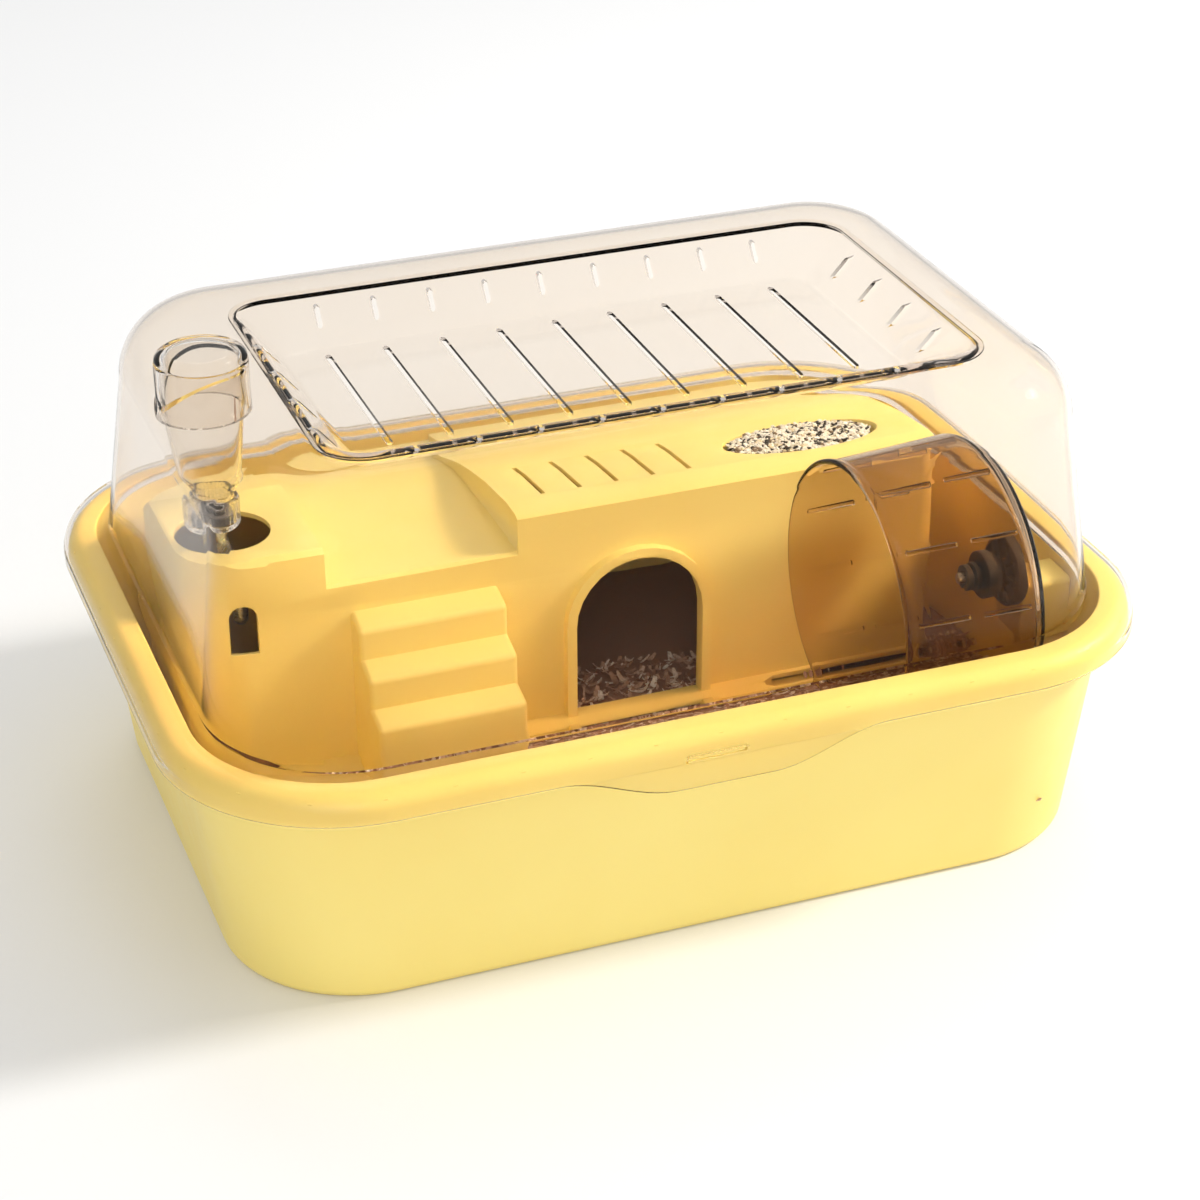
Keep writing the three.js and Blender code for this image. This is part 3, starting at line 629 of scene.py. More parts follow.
# the platform is the tub's yellow plastic, with its colours set darker as painted shade for its place under the
# lid
shadedPlatformPlastic = mouldedFinish("playPlatformPlastic", dict(
    yellowLook, colour=(0.86, 0.68, 0.215), deep=(0.83, 0.64, 0.185), cloudScale=14, rough=(0.42, 0.52)))
smokyLid = clearFinish("smokyLidPlastic", lidLook)
brownWheel = clearFinish("brownWheelPlastic", wheelLook)
bottleClear = clearFinish("bottleClearPlastic", bottleLook)
darkPlastic = mouldedFinish("hubDarkPlastic", darkLook)
gasketRubber = mouldedFinish("gasketRubber", rubberLook)
turnedSteel = metalFinish("sipperSteel", steelLook)
woodShavings = looseFinish("woodShavings", shavingLook)
seedMix = looseFinish("seedMix", seedLook)
print("finishes made")

# the tub
tub = {
    "mouth": (-218, 218, -162.5, 162.5, 68), "rim": 119, "lipOut": 14.2, "lipDrop": 15, "wall": 3,
    "draft": 0.113, "floor": 3, "footInset": 14, "ribs": 48, "catchSlot": (-18.5, 10.5, 106.5, 109.2),
    "catchRound": 0.9, "tubCatchLower": 1.8, "lipRound": 7.2, "edge": 1.3, "gap": 0.3,
    "lipSkin": 2.2, "heel": 3.2, "cove": 9,
}
lipFoot = tub["rim"] - tub["lipDrop"]


def mouthRing(off):
    return grown(tub["mouth"], off, 1.0 if off > 0 else 0.5)


def wallOff(z):
    return tub["wall"] - (lipFoot - z) * tub["draft"]


def innerOff(z):
    return wallOff(z) - tub["wall"] - tub["gap"]


def catchTool(lower, near, far):
    # the slot that the lid's catch sits in, between two planes across Y
    x0, x1, z0, z1 = tub["catchSlot"]
    outline = [(x0, z0 - lower), (x1, z0 - lower), (x1, z1), (x0, z1)]
    return prism("catch", roundPath(outline, tub["catchRound"]), near, far, "XZ")


def makeTub():
    lip, rim, bend = tub["lipOut"], tub["rim"], tub["lipRound"]
    turns = [math.radians(a) for a in range(0, 91, 10)]
    roll = [(lip - bend + bend * math.cos(a), rim - bend + bend * math.sin(a)) for a in turns]
    foot, heel, skirt, cove = wallOff(0) - tub["footInset"], tub["heel"], lip - tub["lipSkin"], tub["cove"]
    path = [
        (foot - 2, 1.0),
        (foot, 0),
        (wallOff(0) - heel / 2, 0),
        (wallOff(heel), heel),
        (wallOff(rim - 3), rim - 3),
        (skirt, rim - 3),
        (skirt, lipFoot),
        (lip, lipFoot),
        *roll,
        (0, rim),
        (innerOff(rim - 8), rim - 8),
        (innerOff(cove), cove),
        (innerOff(cove) - 5, tub["floor"] + 1.6),
        (innerOff(cove) - 11, tub["floor"]),
    ]
    path = roundPath(path, tub["edge"], closed=False)
    rings = [atZ(loopOf(mouthRing(off), 20, (2, 2, 2, 6)), z) for off, z in path]
    piece = skin("tub_shell", rings)
    front = tub["mouth"][2] - lip
    return combine(piece, catchTool(tub["tubCatchLower"], front - 6, front + 4))


tubShell = makeTub()
post = {"width": (-92, -68), "z": (79, 109), "x": (191.4, 217), "corner": 3.5, "edge": 1.0}


def makePost():
    (y0, y1), (z0, z1), (x0, x1) = post["width"], post["z"], post["x"]
    outline = roundPath([(y0, z0), (y1, z0), (y1, z1), (y0, z1)], post["corner"], 5)
    block = prism("post", outline, x0, x1, "YZ")
    return roundEdges(block, post["edge"], 50)


combine(tubShell, makePost(), "UNION")
finishPiece(tubShell, "base", "base_tub", yellowPlastic, 32)


lipRib = {"half": 0.9, "tall": 6, "slope": 3, "toe": 4, "intoLip": 0.8, "intoWall": 0.6, "underRim": 2.4}


def makeLipRibs():
    # small gussets under the rolled rim, between the lip and the wall
    outer = tub["lipOut"] - tub["lipSkin"] + lipRib["intoLip"]
    inner = wallOff(tub["rim"] - 12) - lipRib["intoWall"]
    path = loopOf(mouthRing((outer + inner) / 2), 20, (12, 12, 12, 24))
    verts = [(x * mm, y * mm, 0) for x, y in path]
    mesh = bpy.data.meshes.new("lip_ribs")
    mesh.from_pydata(verts, [(k, (k + 1) % len(verts)) for k in range(len(verts))], [])
    line = bpy.data.objects.new("tub_lip_ribs", mesh)
    scene.collection.objects.link(line)
    reach = (outer - inner) / 2
    top = tub["rim"] - lipRib["underRim"]
    under = top - lipRib["tall"]
    outline = [(reach, top), (-reach, top), (-reach, under), (reach - lipRib["toe"], under - lipRib["slope"])]
    rib = prism("rib", outline, -lipRib["half"], lipRib["half"], "YZ")
    runTree(line, ribLoop, pattern=rib, count=tub["ribs"], finish=yellowPlastic)
    drop(rib)
    return line


tubRibs = makeLipRibs()
finishPiece(tubRibs, "base", None, yellowPlastic, 30)
print("tub made")

# the play platform
platformLook = {
    "edge": 1.3, "angle": 24, "soft": 2.6, "softAngle": 40, "shortest": 11, "smallest": 90,
    "zone": ((-122, -44), (-48, 0), (34, 127)),
}
platform = copyNode("play_platform", "play_platform_shell")


def softenCorners(piece):
    # the long outer corners of the stairs and the landing over them get a wide round
    (x0, x1), (y0, y1), (z0, z1) = platformLook["zone"]
    work = bmesh.new()
    work.from_mesh(piece.data)
    picked = []
    for edge in work.edges:
        if len(edge.link_faces) != 2 or edge.calc_length() < platformLook["shortest"] * mm:
            continue
        if not edge.is_convex or edge.calc_face_angle() < math.radians(platformLook["softAngle"]):
            continue
        if min(face.calc_area() for face in edge.link_faces) < platformLook["smallest"] * mm * mm:
            continue
        mid = (edge.verts[0].co + edge.verts[1].co) / (2 * mm)
        if x0 < mid.x < x1 and y0 < mid.y < y1 and z0 < mid.z < z1:
            picked.append(edge)
    bmesh.ops.bevel(work, geom=picked, offset=platformLook["soft"] * mm, segments=4, profile=0.5,
                    affect="EDGES", clamp_overlap=False)
    work.to_mesh(piece.data)
    work.free()
    print("corners softened:", len(picked))


softenCorners(platform)
roundEdges(platform, platformLook["edge"], platformLook["angle"], 3)
finishPiece(platform, "platform", "play_platform", shadedPlatformPlastic, 40)
print("play platform made:", len(platform.data.polygons), "faces")

# the lid
lid = {
    "wall": 2.2, "seat": 0.5, "foot": (-213, 213, -160, 160, 67), "spring": (-203, 203, -141, 132, 52),
    "roof": 240, "shoulder": 33.5, "skirtDrop": 12, "tabDrop": 14, "tabHalf": 78, "tabFlat": 22,
    "bottle": (-177, 18), "hole": 19.5, "collar": 2.1, "collarRise": 1.6,
    "collarDeep": 24, "collarEdge": 0.8, "hang": 0.6, "fold": 8, "bend": 4.5, "trayGap": 0.5, "corner": 20,
}
springZ = lid["roof"] - lid["shoulder"]
lidSides = (8, 8, 8, 64)


def skirtEdge(x, y):
    away = max(0, abs(x) - lid["tabFlat"]) / (lid["tabHalf"] - lid["tabFlat"])
    dip = 0.5 + 0.5 * math.cos(math.pi * away) if y < tub["mouth"][2] and away < 1 else 0
    return tub["rim"] - lid["skirtDrop"] - lid["tabDrop"] * dip


def domeRing(z, inset):
    ring = mixRing(lid["foot"], lid["spring"], (z - tub["rim"]) / (springZ - tub["rim"]))
    return grown(ring, -inset)


def shoulderRings(inset, steps):
    made = []
    reach = lid["shoulder"] - inset
    for k in range(steps + 1):
        a = math.pi * k / (2 * steps)
        loop = loopOf(domeRing(springZ, inset + reach * (1 - math.cos(a))), lid["corner"], lidSides)
        made.append(atZ(loop, springZ + reach * math.sin(a)))
    return made


def makeLidShell():
    wall, lip = lid["wall"], tub["lipOut"]
    under = tub["rim"] + lid["seat"]
    over = under + wall

    def band(off, z):
        return atZ(loopOf(mouthRing(off), lid["corner"], lidSides), z)

    def dome(z, inset):
        return atZ(loopOf(domeRing(z, inset), lid["corner"], lidSides), z)

    def skirt(off, up):
        loop = loopOf(mouthRing(off), lid["corner"], lidSides)
        return [(x, y, skirtEdge(x, y) + up) for x, y in loop]

    # the skirt hangs round the tub's lip: its inside goes down, its edge is rounded, its outside comes up
    hang, foot = lip + lid["hang"], under - lid["fold"]
    inner = [(lip - 6.4, under), (lip - 1.2, under - 2.2), (hang, foot + 1), (hang, foot)]
    outer = [(hang + wall, foot), (hang + wall, foot + 1.6), (lip + 0.4, over - 2.1), (lip - 5.4, over)]
    edge = ((0, 0.7), (0.35, 0.15), (wall / 2, 0), (wall - 0.35, 0.15), (wall, 0.7))
    rings = list(reversed(shoulderRings(wall, 14)))
    rings += [dome(z, wall) for z in (180, 150, 126)]
    rings += [dome(under + 1.2, wall), dome(under + 0.2, wall - 0.6), band(-1.5, under), band(3, under)]
    rings += [band(off, z) for off, z in roundPath(inner, lid["bend"], 5, closed=False, sharp=3)]
    rings += [skirt(hang + off, up) for off, up in edge]
    rings += [band(off, z) for off, z in roundPath(outer, lid["bend"], 5, closed=False, sharp=3)]
    rings += [band(3, over), band(-1.6, over), band(-3.2, over + 0.5)]
    rings += [dome(over + 1.7, -0.2), dome(over + 3.4, 0)]
    rings += [dome(z, 0) for z in (150, 180)]
    rings += shoulderRings(0, 18)
    return skin("lid_shell", rings)


tray = {
    "floor": (-133, 138, -67, 62, 12), "top": (-151, 158, -106, 78, 20), "floorZ": 220, "skin": 1.8,
    "lipZ": 240.3, "lip": 2.8, "lipThick": 1.2, "count": 9, "pitch": 28.25, "first": -110, "slot": 1.5,
    "sides": 4, "firstSide": -61, "sidePitch": 32, "bend": 2.4, "floorEnd": 13,
    "backSlot": (10.7, 4.8), "frontSlot": (10, 4), "sideSlot": (11, 5),
}


def makeLid():
    shell = makeLidShell()
    x, y = lid["bottle"]
    outer, roof = lid["hole"] + lid["collar"], lid["roof"]
    top = roof + lid["collarRise"]
    low = roof - lid["collarDeep"]
    edge = roundPath([(outer, low), (outer, top), (0, top)], lid["collarEdge"], closed=False)[1:-1]
    path = [(0, low), (outer, low), *edge, (0, top)]
    combine(shell, turned("collar", path, (x, y, 0), segments=96), "UNION")
    boreLow, boreTop = low - 20, roof + 9
    bore = [(0, boreLow), (lid["hole"], boreLow), (lid["hole"], boreTop), (0, boreTop)]
    combine(shell, turned("bore", bore, (x, y, 0), segments=96))
    opening = loopOf(grown(tray["top"], lid["trayGap"]), 14)
    combine(shell, prism("opening", opening, roof - 30, roof + 6))
    front = tub["mouth"][2] - tub["lipOut"]
    return combine(shell, catchTool(0, front - 9, front - 0.2))


lidShell = makeLid()
finishPiece(lidShell, "lid", "lid_dome", smokyLid, 30)
print("lid made:", len(lidShell.data.polygons), "faces")


# the vent tray
def trayRing(off):
    rise = tray["floor"][0] - tray["top"][0]
    if off < 0:
        return grown(tray["floor"], off)
    if off > rise:
        return grown(tray["top"], off - rise)
    return mixRing(tray["floor"], tray["top"], off / rise)


def makeTray():
    rise = tray["floor"][0] - tray["top"][0]
    z, lipZ, thick = tray["floorZ"], tray["lipZ"], tray["lipThick"]
    lip, thin = rise + tray["lip"], tray["skin"]
    path = [
        (-8, z - thin), (0, z - thin), (rise, lipZ - 1.6), (rise, lipZ), (lip, lipZ), (lip, lipZ + thick),
        (rise - thin, lipZ + thick), (-thin, z), (-9, z),
    ]
    path = roundPath(path, tray["bend"], 4, closed=False)
    return skin("vent_tray", [atZ(loopOf(trayRing(off), 12), height) for off, height in path])


def cutSlots(piece):
    half, z, first, pitch = tray["slot"], tray["floorZ"], tray["first"], tray["pitch"]
    fl, tp = tray["floor"], tray["top"]

    def row(outline, low, high, plane, count, start, step):
        tool = prism("slotTool", outline, low, high, plane)
        runTree(piece, slotRow, pattern=tool, count=count, first=Vector(start) * mm, pitch=Vector(step) * mm,
                finish=smokyLid)
        drop(tool)

    def upright(key):
        # a wall slot's outline, from its middle's height over the floor and its half length
        rise, reach = tray[key]
        return slotOutline(0, z + rise, reach, half)

    flat = slotOutline(0, (fl[2] + fl[3]) / 2 + 1, (fl[3] - fl[2]) / 2 - tray["floorEnd"], half)
    row(flat, z - 5, z + 4, "XY", tray["count"], (first, 0, 0), (pitch, 0, 0))
    row(upright("backSlot"), fl[3] - 2, tp[3] + 6, "XZ", tray["count"], (first + 2, 0, 0), (pitch - 0.2, 0, 0))
    row(upright("frontSlot"), tp[2] - 6, fl[2] + 1, "XZ", tray["count"], (first, 0, 0), (pitch, 0, 0))
    for low, high in ((tp[0] - 14, fl[0] + 5), (fl[1] - 6, tp[1] + 22)):
        row(upright("sideSlot"), low, high, "YZ", tray["sides"], (0, tray["firstSide"], 0),
            (0, tray["sidePitch"], 0))
    return piece


ventTray = cutSlots(makeTray())
finishPiece(ventTray, "vent", "vent_panel", smokyLid, 30)
print("vent tray made:", len(ventTray.data.polygons), "faces")

# the running wheel
wheel = {
    "y": -80, "z": 113, "open": 101, "shut": 172, "openR": 67, "shutR": 70.5, "skin": 2, "treads": 12,
    "axle": 3, "bars": ((109, 134), (141, 164)), "hub": 12, "hubLong": 10.8, "edge": 1.6, "barHalf": 1.1,
    "barOut": 0.9, "barIn": 1.9, "barEdge": 0.8,
}
axleSpot = (0, wheel["y"], wheel["z"])


def makeDrum():
    a, b, r, R, t = wheel["open"], wheel["shut"], wheel["openR"], wheel["shutR"], wheel["skin"]
    path = [
        (5, b - t), (R - t - 5, b - t), (R - t - 0.8, b - t - 5), (r - t - 0.6, a + 5), (r - t + 0.1, a + 2),
        (r - t + 0.1, a), (r + 0.5, a), (r + 0.5, a + 3), (r - 0.6, a + 5), (R - 0.6, b - 7), (R - 4.5, b),
        (5, b),
    ]
    drum = turned("wheel_drum_shell", roundPath(path, wheel["edge"], 4, sharp=6), axleSpot, "X", 112)
    bars = None
    for x0, x1 in wheel["bars"]:
        mid = (x0 + x1) / 2
        wallR = r - t - 0.6 + (R - r) * (mid - a) / (b - a)
        half, out, deep = wheel["barHalf"], wallR + wheel["barOut"], wallR - wheel["barIn"]
        outline = roundPath([(-half, out), (half, out), (half, deep), (-half, deep)], wheel["barEdge"])
        bar = prism("bar", outline, x0, x1, "YZ")
        bars = combine(bars, bar, "UNION") if bars else bar
    runTree(drum, patternRing, pattern=bars, count=wheel["treads"], axle=(1, 0, 0),
            centre=Vector(axleSpot) * mm, firstTurn=math.pi / wheel["treads"], finish=brownWheel)
    drop(bars)
    return drum


drum = makeDrum()
finishPiece(drum, "wheel", "wheel_drum", brownWheel, 32)

hubEnd = wheel["shut"] + wheel["hubLong"]
plate = {
    "x": hubEnd + 4, "thick": 4, "r": 18, "spokes": 8, "rim": 2.4, "screwSpread": 7, "screwDrop": 11,
    "screwR": 1.5, "headR": 3, "pitch": 0.7, "thread": 0.3, "intoPost": 9,
}
# clearances round the axle, and how far each part on it lies inside the wheel's end disc
onAxle = {"run": 0.05, "free": 0.3, "bushSkin": 1.5, "bushFlange": 4, "bushIn": 4.6, "pinIn": 12, "clipIn": 9}


def makeBoss():
    bore, face, r = wheel["axle"] + onAxle["bushSkin"] + 0.3, wheel["shut"] + 0.3, wheel["hub"]
    path = [(bore, face), (r, face), (r, hubEnd - 5), (r - 2, hubEnd - 1.5), (r - 5, hubEnd), (bore, hubEnd)]
    return turned("hub_boss_cap", roundPath(path, 1.0), axleSpot, "X", 56)


def makeBush():
    bore, skin, flange = (wheel["axle"] + onAxle[key] for key in ("run", "bushSkin", "bushFlange"))
    start, step, end = wheel["shut"] - onAxle["bushIn"], wheel["shut"] - onAxle["bushIn"] / 2, hubEnd + 0.6
    path = [(bore, start), (flange, start), (flange, step), (skin, step), (skin, end), (bore, end)]
    return turned("hub_bush_sleeve", roundPath(path, 0.35), axleSpot, "X", 48)


def makePin():
    r, start, end = wheel["axle"], wheel["shut"] - onAxle["pinIn"], plate["x"] + plate["thick"]
    path = [(0, start), (r - 0.6, start), (r, start + 1), (r, end), (0, end)]
    return turned("axle_pin_rod", roundPath(path, 0.3), axleSpot, "X", 48)


finishPiece(makeBoss(), "wheel", "hub_boss", darkPlastic)
finishPiece(makeBush(), "wheel", "hub_bush", darkPlastic)
finishPiece(makePin(), "base", "axle_pin", turnedSteel)


def makeClip():
    bore, outer = wheel["axle"] + onAxle["free"], wheel["axle"] + 3.4
    start = wheel["shut"] - onAxle["clipIn"]
    end = start + 3
    path = [(bore, start), (outer, start), (outer, end), (bore, end)]
    ring = turned("axle_clip_ring", roundPath(path, 0.5), axleSpot, "X", 40)
    y, z, half = wheel["y"], wheel["z"], 1.2
    gap = [(y - half, z - 9), (y + half, z - 9), (y + half, z - 2), (y - half, z - 2)]
    return combine(ring, prism("gapTool", gap, start - 3, end + 2, "YZ"))


finishPiece(makeClip(), "base", "axle_clip", darkPlastic)


def screwSpot(side):
    return (0, wheel["y"] + side * plate["screwSpread"], wheel["z"] - plate["screwDrop"])


def makeMount():
    x, r, back = plate["x"], plate["r"], plate["x"] + plate["thick"]
    bore, sleeve, rim = wheel["axle"] + onAxle["free"], wheel["axle"] + 4.4, plate["r"] - plate["rim"]
    path = [
        (bore, x - 2.6), (sleeve, x - 2.6), (sleeve, x + 1.2), (rim, x + 1.2), (rim, x - 1.9), (r, x - 1.0),
        (r, back), (bore, back),
    ]
    disc = turned("axle_mount_disc", roundPath(path, 0.5), axleSpot, "X", 72)
    spoke = prism("spoke", [(-0.8, wheel["axle"] + 4), (0.8, wheel["axle"] + 4), (0.8, r - 2), (-0.8, r - 2)],
                  x - 1.9, x + 1.6, "YZ")
    roundEdges(spoke, 0.3, 40, 2)
    runTree(disc, patternRing, pattern=spoke, count=plate["spokes"], axle=(1, 0, 0),
            centre=Vector(axleSpot) * mm, firstTurn=0.0, finish=darkPlastic)
    drop(spoke)
    head, hole = plate["headR"] + 0.6, plate["screwR"] + 0.3
    for side in (-1, 1):
        path = [(0, x - 4), (head, x - 4), (head, x), (hole, x), (hole, x + 6), (0, x + 6)]
        combine(disc, turned("seat", path, screwSpot(side), "X", 28))
    return disc


finishPiece(makeMount(), "base", "axle_mount", darkPlastic)


def makeScrew(name, side):
    x, head, r, pitch = plate["x"], plate["headR"], plate["screwR"], plate["pitch"]
    seat = screwSpot(side)
    end = post["x"][0] + plate["intoPost"]
    path = [(0, x - 2.0), (head - 1.2, x - 1.9), (head, x - 1.1), (head, x - 0.3), (r, x - 0.3)]
    spot = x + 3
    while spot < end - 1.5:
        path += [(r, spot), (r - plate["thread"], spot + pitch / 2), (r, spot + pitch)]
        spot += pitch
    path += [(r - 0.2, end - 0.6), (0, end)]
    screw = turned(name, path, seat, "X", 28)
    y, z = seat[1:]
    for wide, tall in ((1.7, 0.45), (0.45, 1.7)):
        outline = [(y - wide, z - tall), (y + wide, z - tall), (y + wide, z + tall), (y - wide, z + tall)]
        combine(screw, prism("cross", outline, x - 3, x - 1.1, "YZ"))
    return screw


for side, label in ((-1, "front"), (1, "back")):
    screwNode = "mount_screw_" + label
    finishPiece(makeScrew(screwNode + "_turned", side), "base", screwNode, turnedSteel)
print("wheel made:", len(drum.data.polygons), "faces")

# the drinking bottle
bottle = {
    "x": -177, "y": 18, "r": 19, "skin": 1.4, "neck": 9, "top": 246.6, "seat": 241.9, "pocket": 222,
    "foot": 184, "flange": 2.2, "neckTop": 176, "neckEnd": 166, "cap": 12, "capLow": 158,
    "capHigh": 174, "grips": 30, "tube": 4,
    "tip": (-169, 16, 106), "ball": 2.8, "core": 2, "tubeSkin": 0.8, "bendTop": 152, "bendDrop": 24,
}
bottleSpot = (bottle["x"], bottle["y"], 0)


def makeBottle():
    r, s, n, top, core = bottle["r"], bottle["skin"], bottle["neck"], bottle["top"], bottle["core"]
    seat, pocket, foot, neckTop, end = (bottle[key] for key in ("seat", "pocket", "foot", "neckTop", "neckEnd"))
    wide = r + bottle["flange"]
    path = [
        (0, top), (core, top), (r - 1.2, top), (wide, top - 2.4), (wide, seat), (r, seat), (r, pocket),
        (r - 4, foot), (n + 1, neckTop + 1), (n, neckTop - 1), (n, end), (n - s, end), (n - s, neckTop),
        (r - 4 - s, foot + 1), (r - s, pocket), (r - s, top - 3.8), (r - 4, top - s),
        (core, top - s), (0, top - s),
    ]
    return turned("bottle_shell", roundPath(path, 2.0, 5, closed=False, sharp=4), bottleSpot, "Z", 80)


finishPiece(makeBottle(), "bottle", "bottle_body", bottleClear)


def makeCap():
    t, c, n = bottle["tube"], bottle["cap"] - 0.5, bottle["neck"]
    low, high = bottle["capLow"], bottle["capHigh"]
    cap = turned("bottle_cap_shell", roundPath([
        (t + 0.3, low), (c - 1.2, low), (c, low + 1.4), (c, high - 0.8), (c - 0.6, high), (n + 0.3, high),
        (n + 0.3, low + 2.5), (t + 0.3, low + 2.5),
    ], 0.5), bottleSpot, "Z", 96)
    grip = prism("grip", roundPath([(-0.5, c - 0.6), (0.5, c - 0.6), (0.5, c + 0.5), (-0.5, c + 0.5)], 0.4),
                 low + 2.2, high - 1.6)
    runTree(cap, patternRing, pattern=grip, count=bottle["grips"], axle=(0, 0, 1),
            centre=Vector(bottleSpot) * mm, firstTurn=0.0, finish=bottleClear)
    drop(grip)
    return cap


finishPiece(makeCap(), "bottle", "bottle_cap", bottleClear)
gasket = turned("cap_gasket_ring", roundPath([
    (bottle["tube"] + 0.3, bottle["capLow"] + 2.8), (bottle["neck"], bottle["capLow"] + 2.8),
    (bottle["neck"], bottle["neckEnd"] - 0.3), (bottle["tube"] + 0.3, bottle["neckEnd"] - 0.3),
], 0.7), bottleSpot, "Z", 56)
finishPiece(gasket, "bottle", "cap_gasket", gasketRubber)


def makeTube():
    x, y, r = bottle["x"], bottle["y"], bottle["tube"]
    tx, ty, tz = bottle["tip"]
    path = [(x, y, bottle["neckEnd"] + 2), (x, y, 160)]
    for k in range(13):
        t = k / 12
        s = t * t * (3 - 2 * t)
        path.append((x + (tx - x) * s, y + (ty - y) * s, bottle["bendTop"] - bottle["bendDrop"] * t))
    path += [(tx, ty, tz + 4)]

    def hoop(spot, radius):
        cx, cy, cz = spot
        turns = [a * math.pi / 18 for a in range(36)]
        return [(cx + radius * math.cos(a), cy + radius * math.sin(a), cz) for a in turns]

    # the tip's (height, radius) steps, down its rounded outside and up round the ball's seat
    tip = [(2, r - 0.25), (0.7, r - 0.7), (0, r - 1.3), (0, 2.35), (0.6, 2.35), (2.8, r - bottle["tubeSkin"])]
    outer = [hoop(spot, r) for spot in path] + [hoop((tx, ty, tz + up), radius) for up, radius in tip]
    inner = [hoop(spot, r - bottle["tubeSkin"]) for spot in reversed(path)]
    return skin("sipper_tube_bent", outer + inner, closed=True)


finishPiece(makeTube(), "bottle", "sipper_tube", turnedSteel, 45)


def makeBall():
    tx, ty, tz = bottle["tip"]
    r, middle = bottle["ball"], tz + 2.7
    turns = [math.radians(a) for a in range(-78, 79, 12)]
    path = [(r * math.cos(a), middle + r * math.sin(a)) for a in turns]
    path = [(0, middle - r)] + path + [(0, middle + r)]
    return turned("sipper_ball_bead", path, (tx, ty, 0), "Z", 32)


finishPiece(makeBall(), "ball", "sipper_ball", turnedSteel)
print("bottle made")

# loose fill
def bitsCollection(name, bits):
    group = bpy.data.collections.new(name)
    for bit in bits:
        scene.collection.objects.unlink(bit)
        group.objects.link(bit)
    return group


def makeCurl(name, length, width, bend, twist, thick=0.35, cuts=5):
    # one wood shaving: a thin strip bent into part of a roll
    rings = []
    for k in range(cuts + 1):
        t = k / cuts - 0.5
        a = bend * t
        r = length / bend
        x, z = r * math.sin(a), r * (1 - math.cos(a))
        lean = twist * t
        w = width * (0.55 + 0.45 * math.cos(math.pi * t))
        side = (math.cos(lean), math.sin(lean))
        up = (-math.sin(a) * thick, math.cos(a) * thick)
        ring = []
        for s, u in ((-0.5, 0), (0.5, 0), (0.5, 1), (-0.5, 1)):
            ring.append((x + u * up[0], s * w * side[0], z + s * w * side[1] + u * up[1]))
        rings.append(ring)
    return skin(name, rings)


def makeGrain(name, long, wide, high, around=6, steps=4):
    # one seed: rings that swell and shrink along its length
    rings = []
    turns = [2 * math.pi * j / around for j in range(around)]
    for k in range(1, steps):
        t = k / steps
        r, along = math.sin(math.pi * t), -math.cos(math.pi * t)
        rings.append([(along * long, r * wide * math.cos(a), r * high * math.sin(a)) for a in turns])
    return skin(name, rings)


bedding = {
    "top": 28.8, "curlDensity": 90000, "houseDensity": 60000, "seed": 4,
    "margin": 2.2, "flange": [
        (-198, 20), (-195, 4), (-191, -14), (-177, -30), (-159, -41), (-116, -46), (-46, -46), (-41, -17),
        (92, -15), (98, -12), (178, -12), (178, 4), (190, 20),
    ],
}


def insideOf(x, y, outline):
    inside = False
    for k in range(len(outline)):
        (ax, ay), (bx, by) = outline[k - 1], outline[k]
        if (ay > y) != (by > y) and x < (bx - ax) * (y - ay) / (by - ay) + ax:
            inside = not inside
    return inside


def openBedTop(grid=6.0):
    # the patch of bedding that shows in front of the platform
    outline = loopOf(grown(tub["mouth"], innerOff(30) - bedding["margin"], 0.5), 12)
    left, front = -219, -162
    verts, faces, index = [], [], {}
    for i in range(int(440 / grid)):
        for j in range(int(200 / grid)):
            x, y = left + i * grid, front + j * grid
            mid = (x + grid / 2, y + grid / 2)
            if y > 2 or not insideOf(*mid, outline) or insideOf(*mid, bedding["flange"]):
                continue
            face = []
            for a, b in ((0, 0), (1, 0), (1, 1), (0, 1)):
                key = (i + a, j + b)
                if key not in index:
                    px, py = left + key[0] * grid, front + key[1] * grid
                    wave = 1.2 * math.sin(px * 0.09) * math.cos(py * 0.11)
                    index[key] = len(verts)
                    verts.append((px * mm, py * mm, (bedding["top"] + wave) * mm))
                face.append(index[key])
            faces.append(face)
    mesh = bpy.data.meshes.new("bedTop")
    mesh.from_pydata(verts, [], faces)
    piece = bpy.data.objects.new("shavings_open", mesh)
    scene.collection.objects.link(piece)
    return piece


curls = bitsCollection("curls", [
    makeCurl("curlLong", 11, 2.6, 1.9, 0.7), makeCurl("curlShort", 6, 2.2, 2.9, -0.4),
    makeCurl("curlThin", 9, 1.1, 1.2, 1.0), makeCurl("chip", 4.2, 1.7, 0.6, 0.2, cuts=3),
])
flat = math.radians(22)


def scatterBits(piece, group, density, kinds, material, sizes=(0.7, 1.25), lean=flat, seed=4):
    runTree(piece, looseFill, bits=group, density=density, seed=seed, tiltLow=(-lean, -lean, 0.0),
            tiltHigh=(lean, lean, 2 * math.pi), smallest=sizes[0], largest=sizes[1], kinds=kinds,
            finish=material)
    return piece


def makeBed(name, node, rough, sink=1.2):
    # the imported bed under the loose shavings, its top worked into soft bumps
    piece = copyNode(node, name)
    work = bmesh.new()
    work.from_mesh(piece.data)
    bmesh.ops.triangulate(work, faces=work.faces)
    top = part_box(node)[1].z
    for _ in range(4):
        long = [e for e in work.edges if e.calc_length() > 0.012]
        if not long:
            break
        bmesh.ops.subdivide_edges(work, edges=long, cuts=1, use_grid_fill=True)
        bmesh.ops.triangulate(work, faces=work.faces)
    for vert in work.verts:
        x, y = vert.co.x / mm, vert.co.y / mm
        if vert.co.z > top - 0.0005:
            bump = math.sin(x * 0.31 + 1) * math.cos(y * 0.27) + 0.6 * math.sin(x * 0.13 - y * 0.19)
            vert.co.z = top + (rough * bump - sink) * mm
    work.to_mesh(piece.data)
    work.free()
    return piece


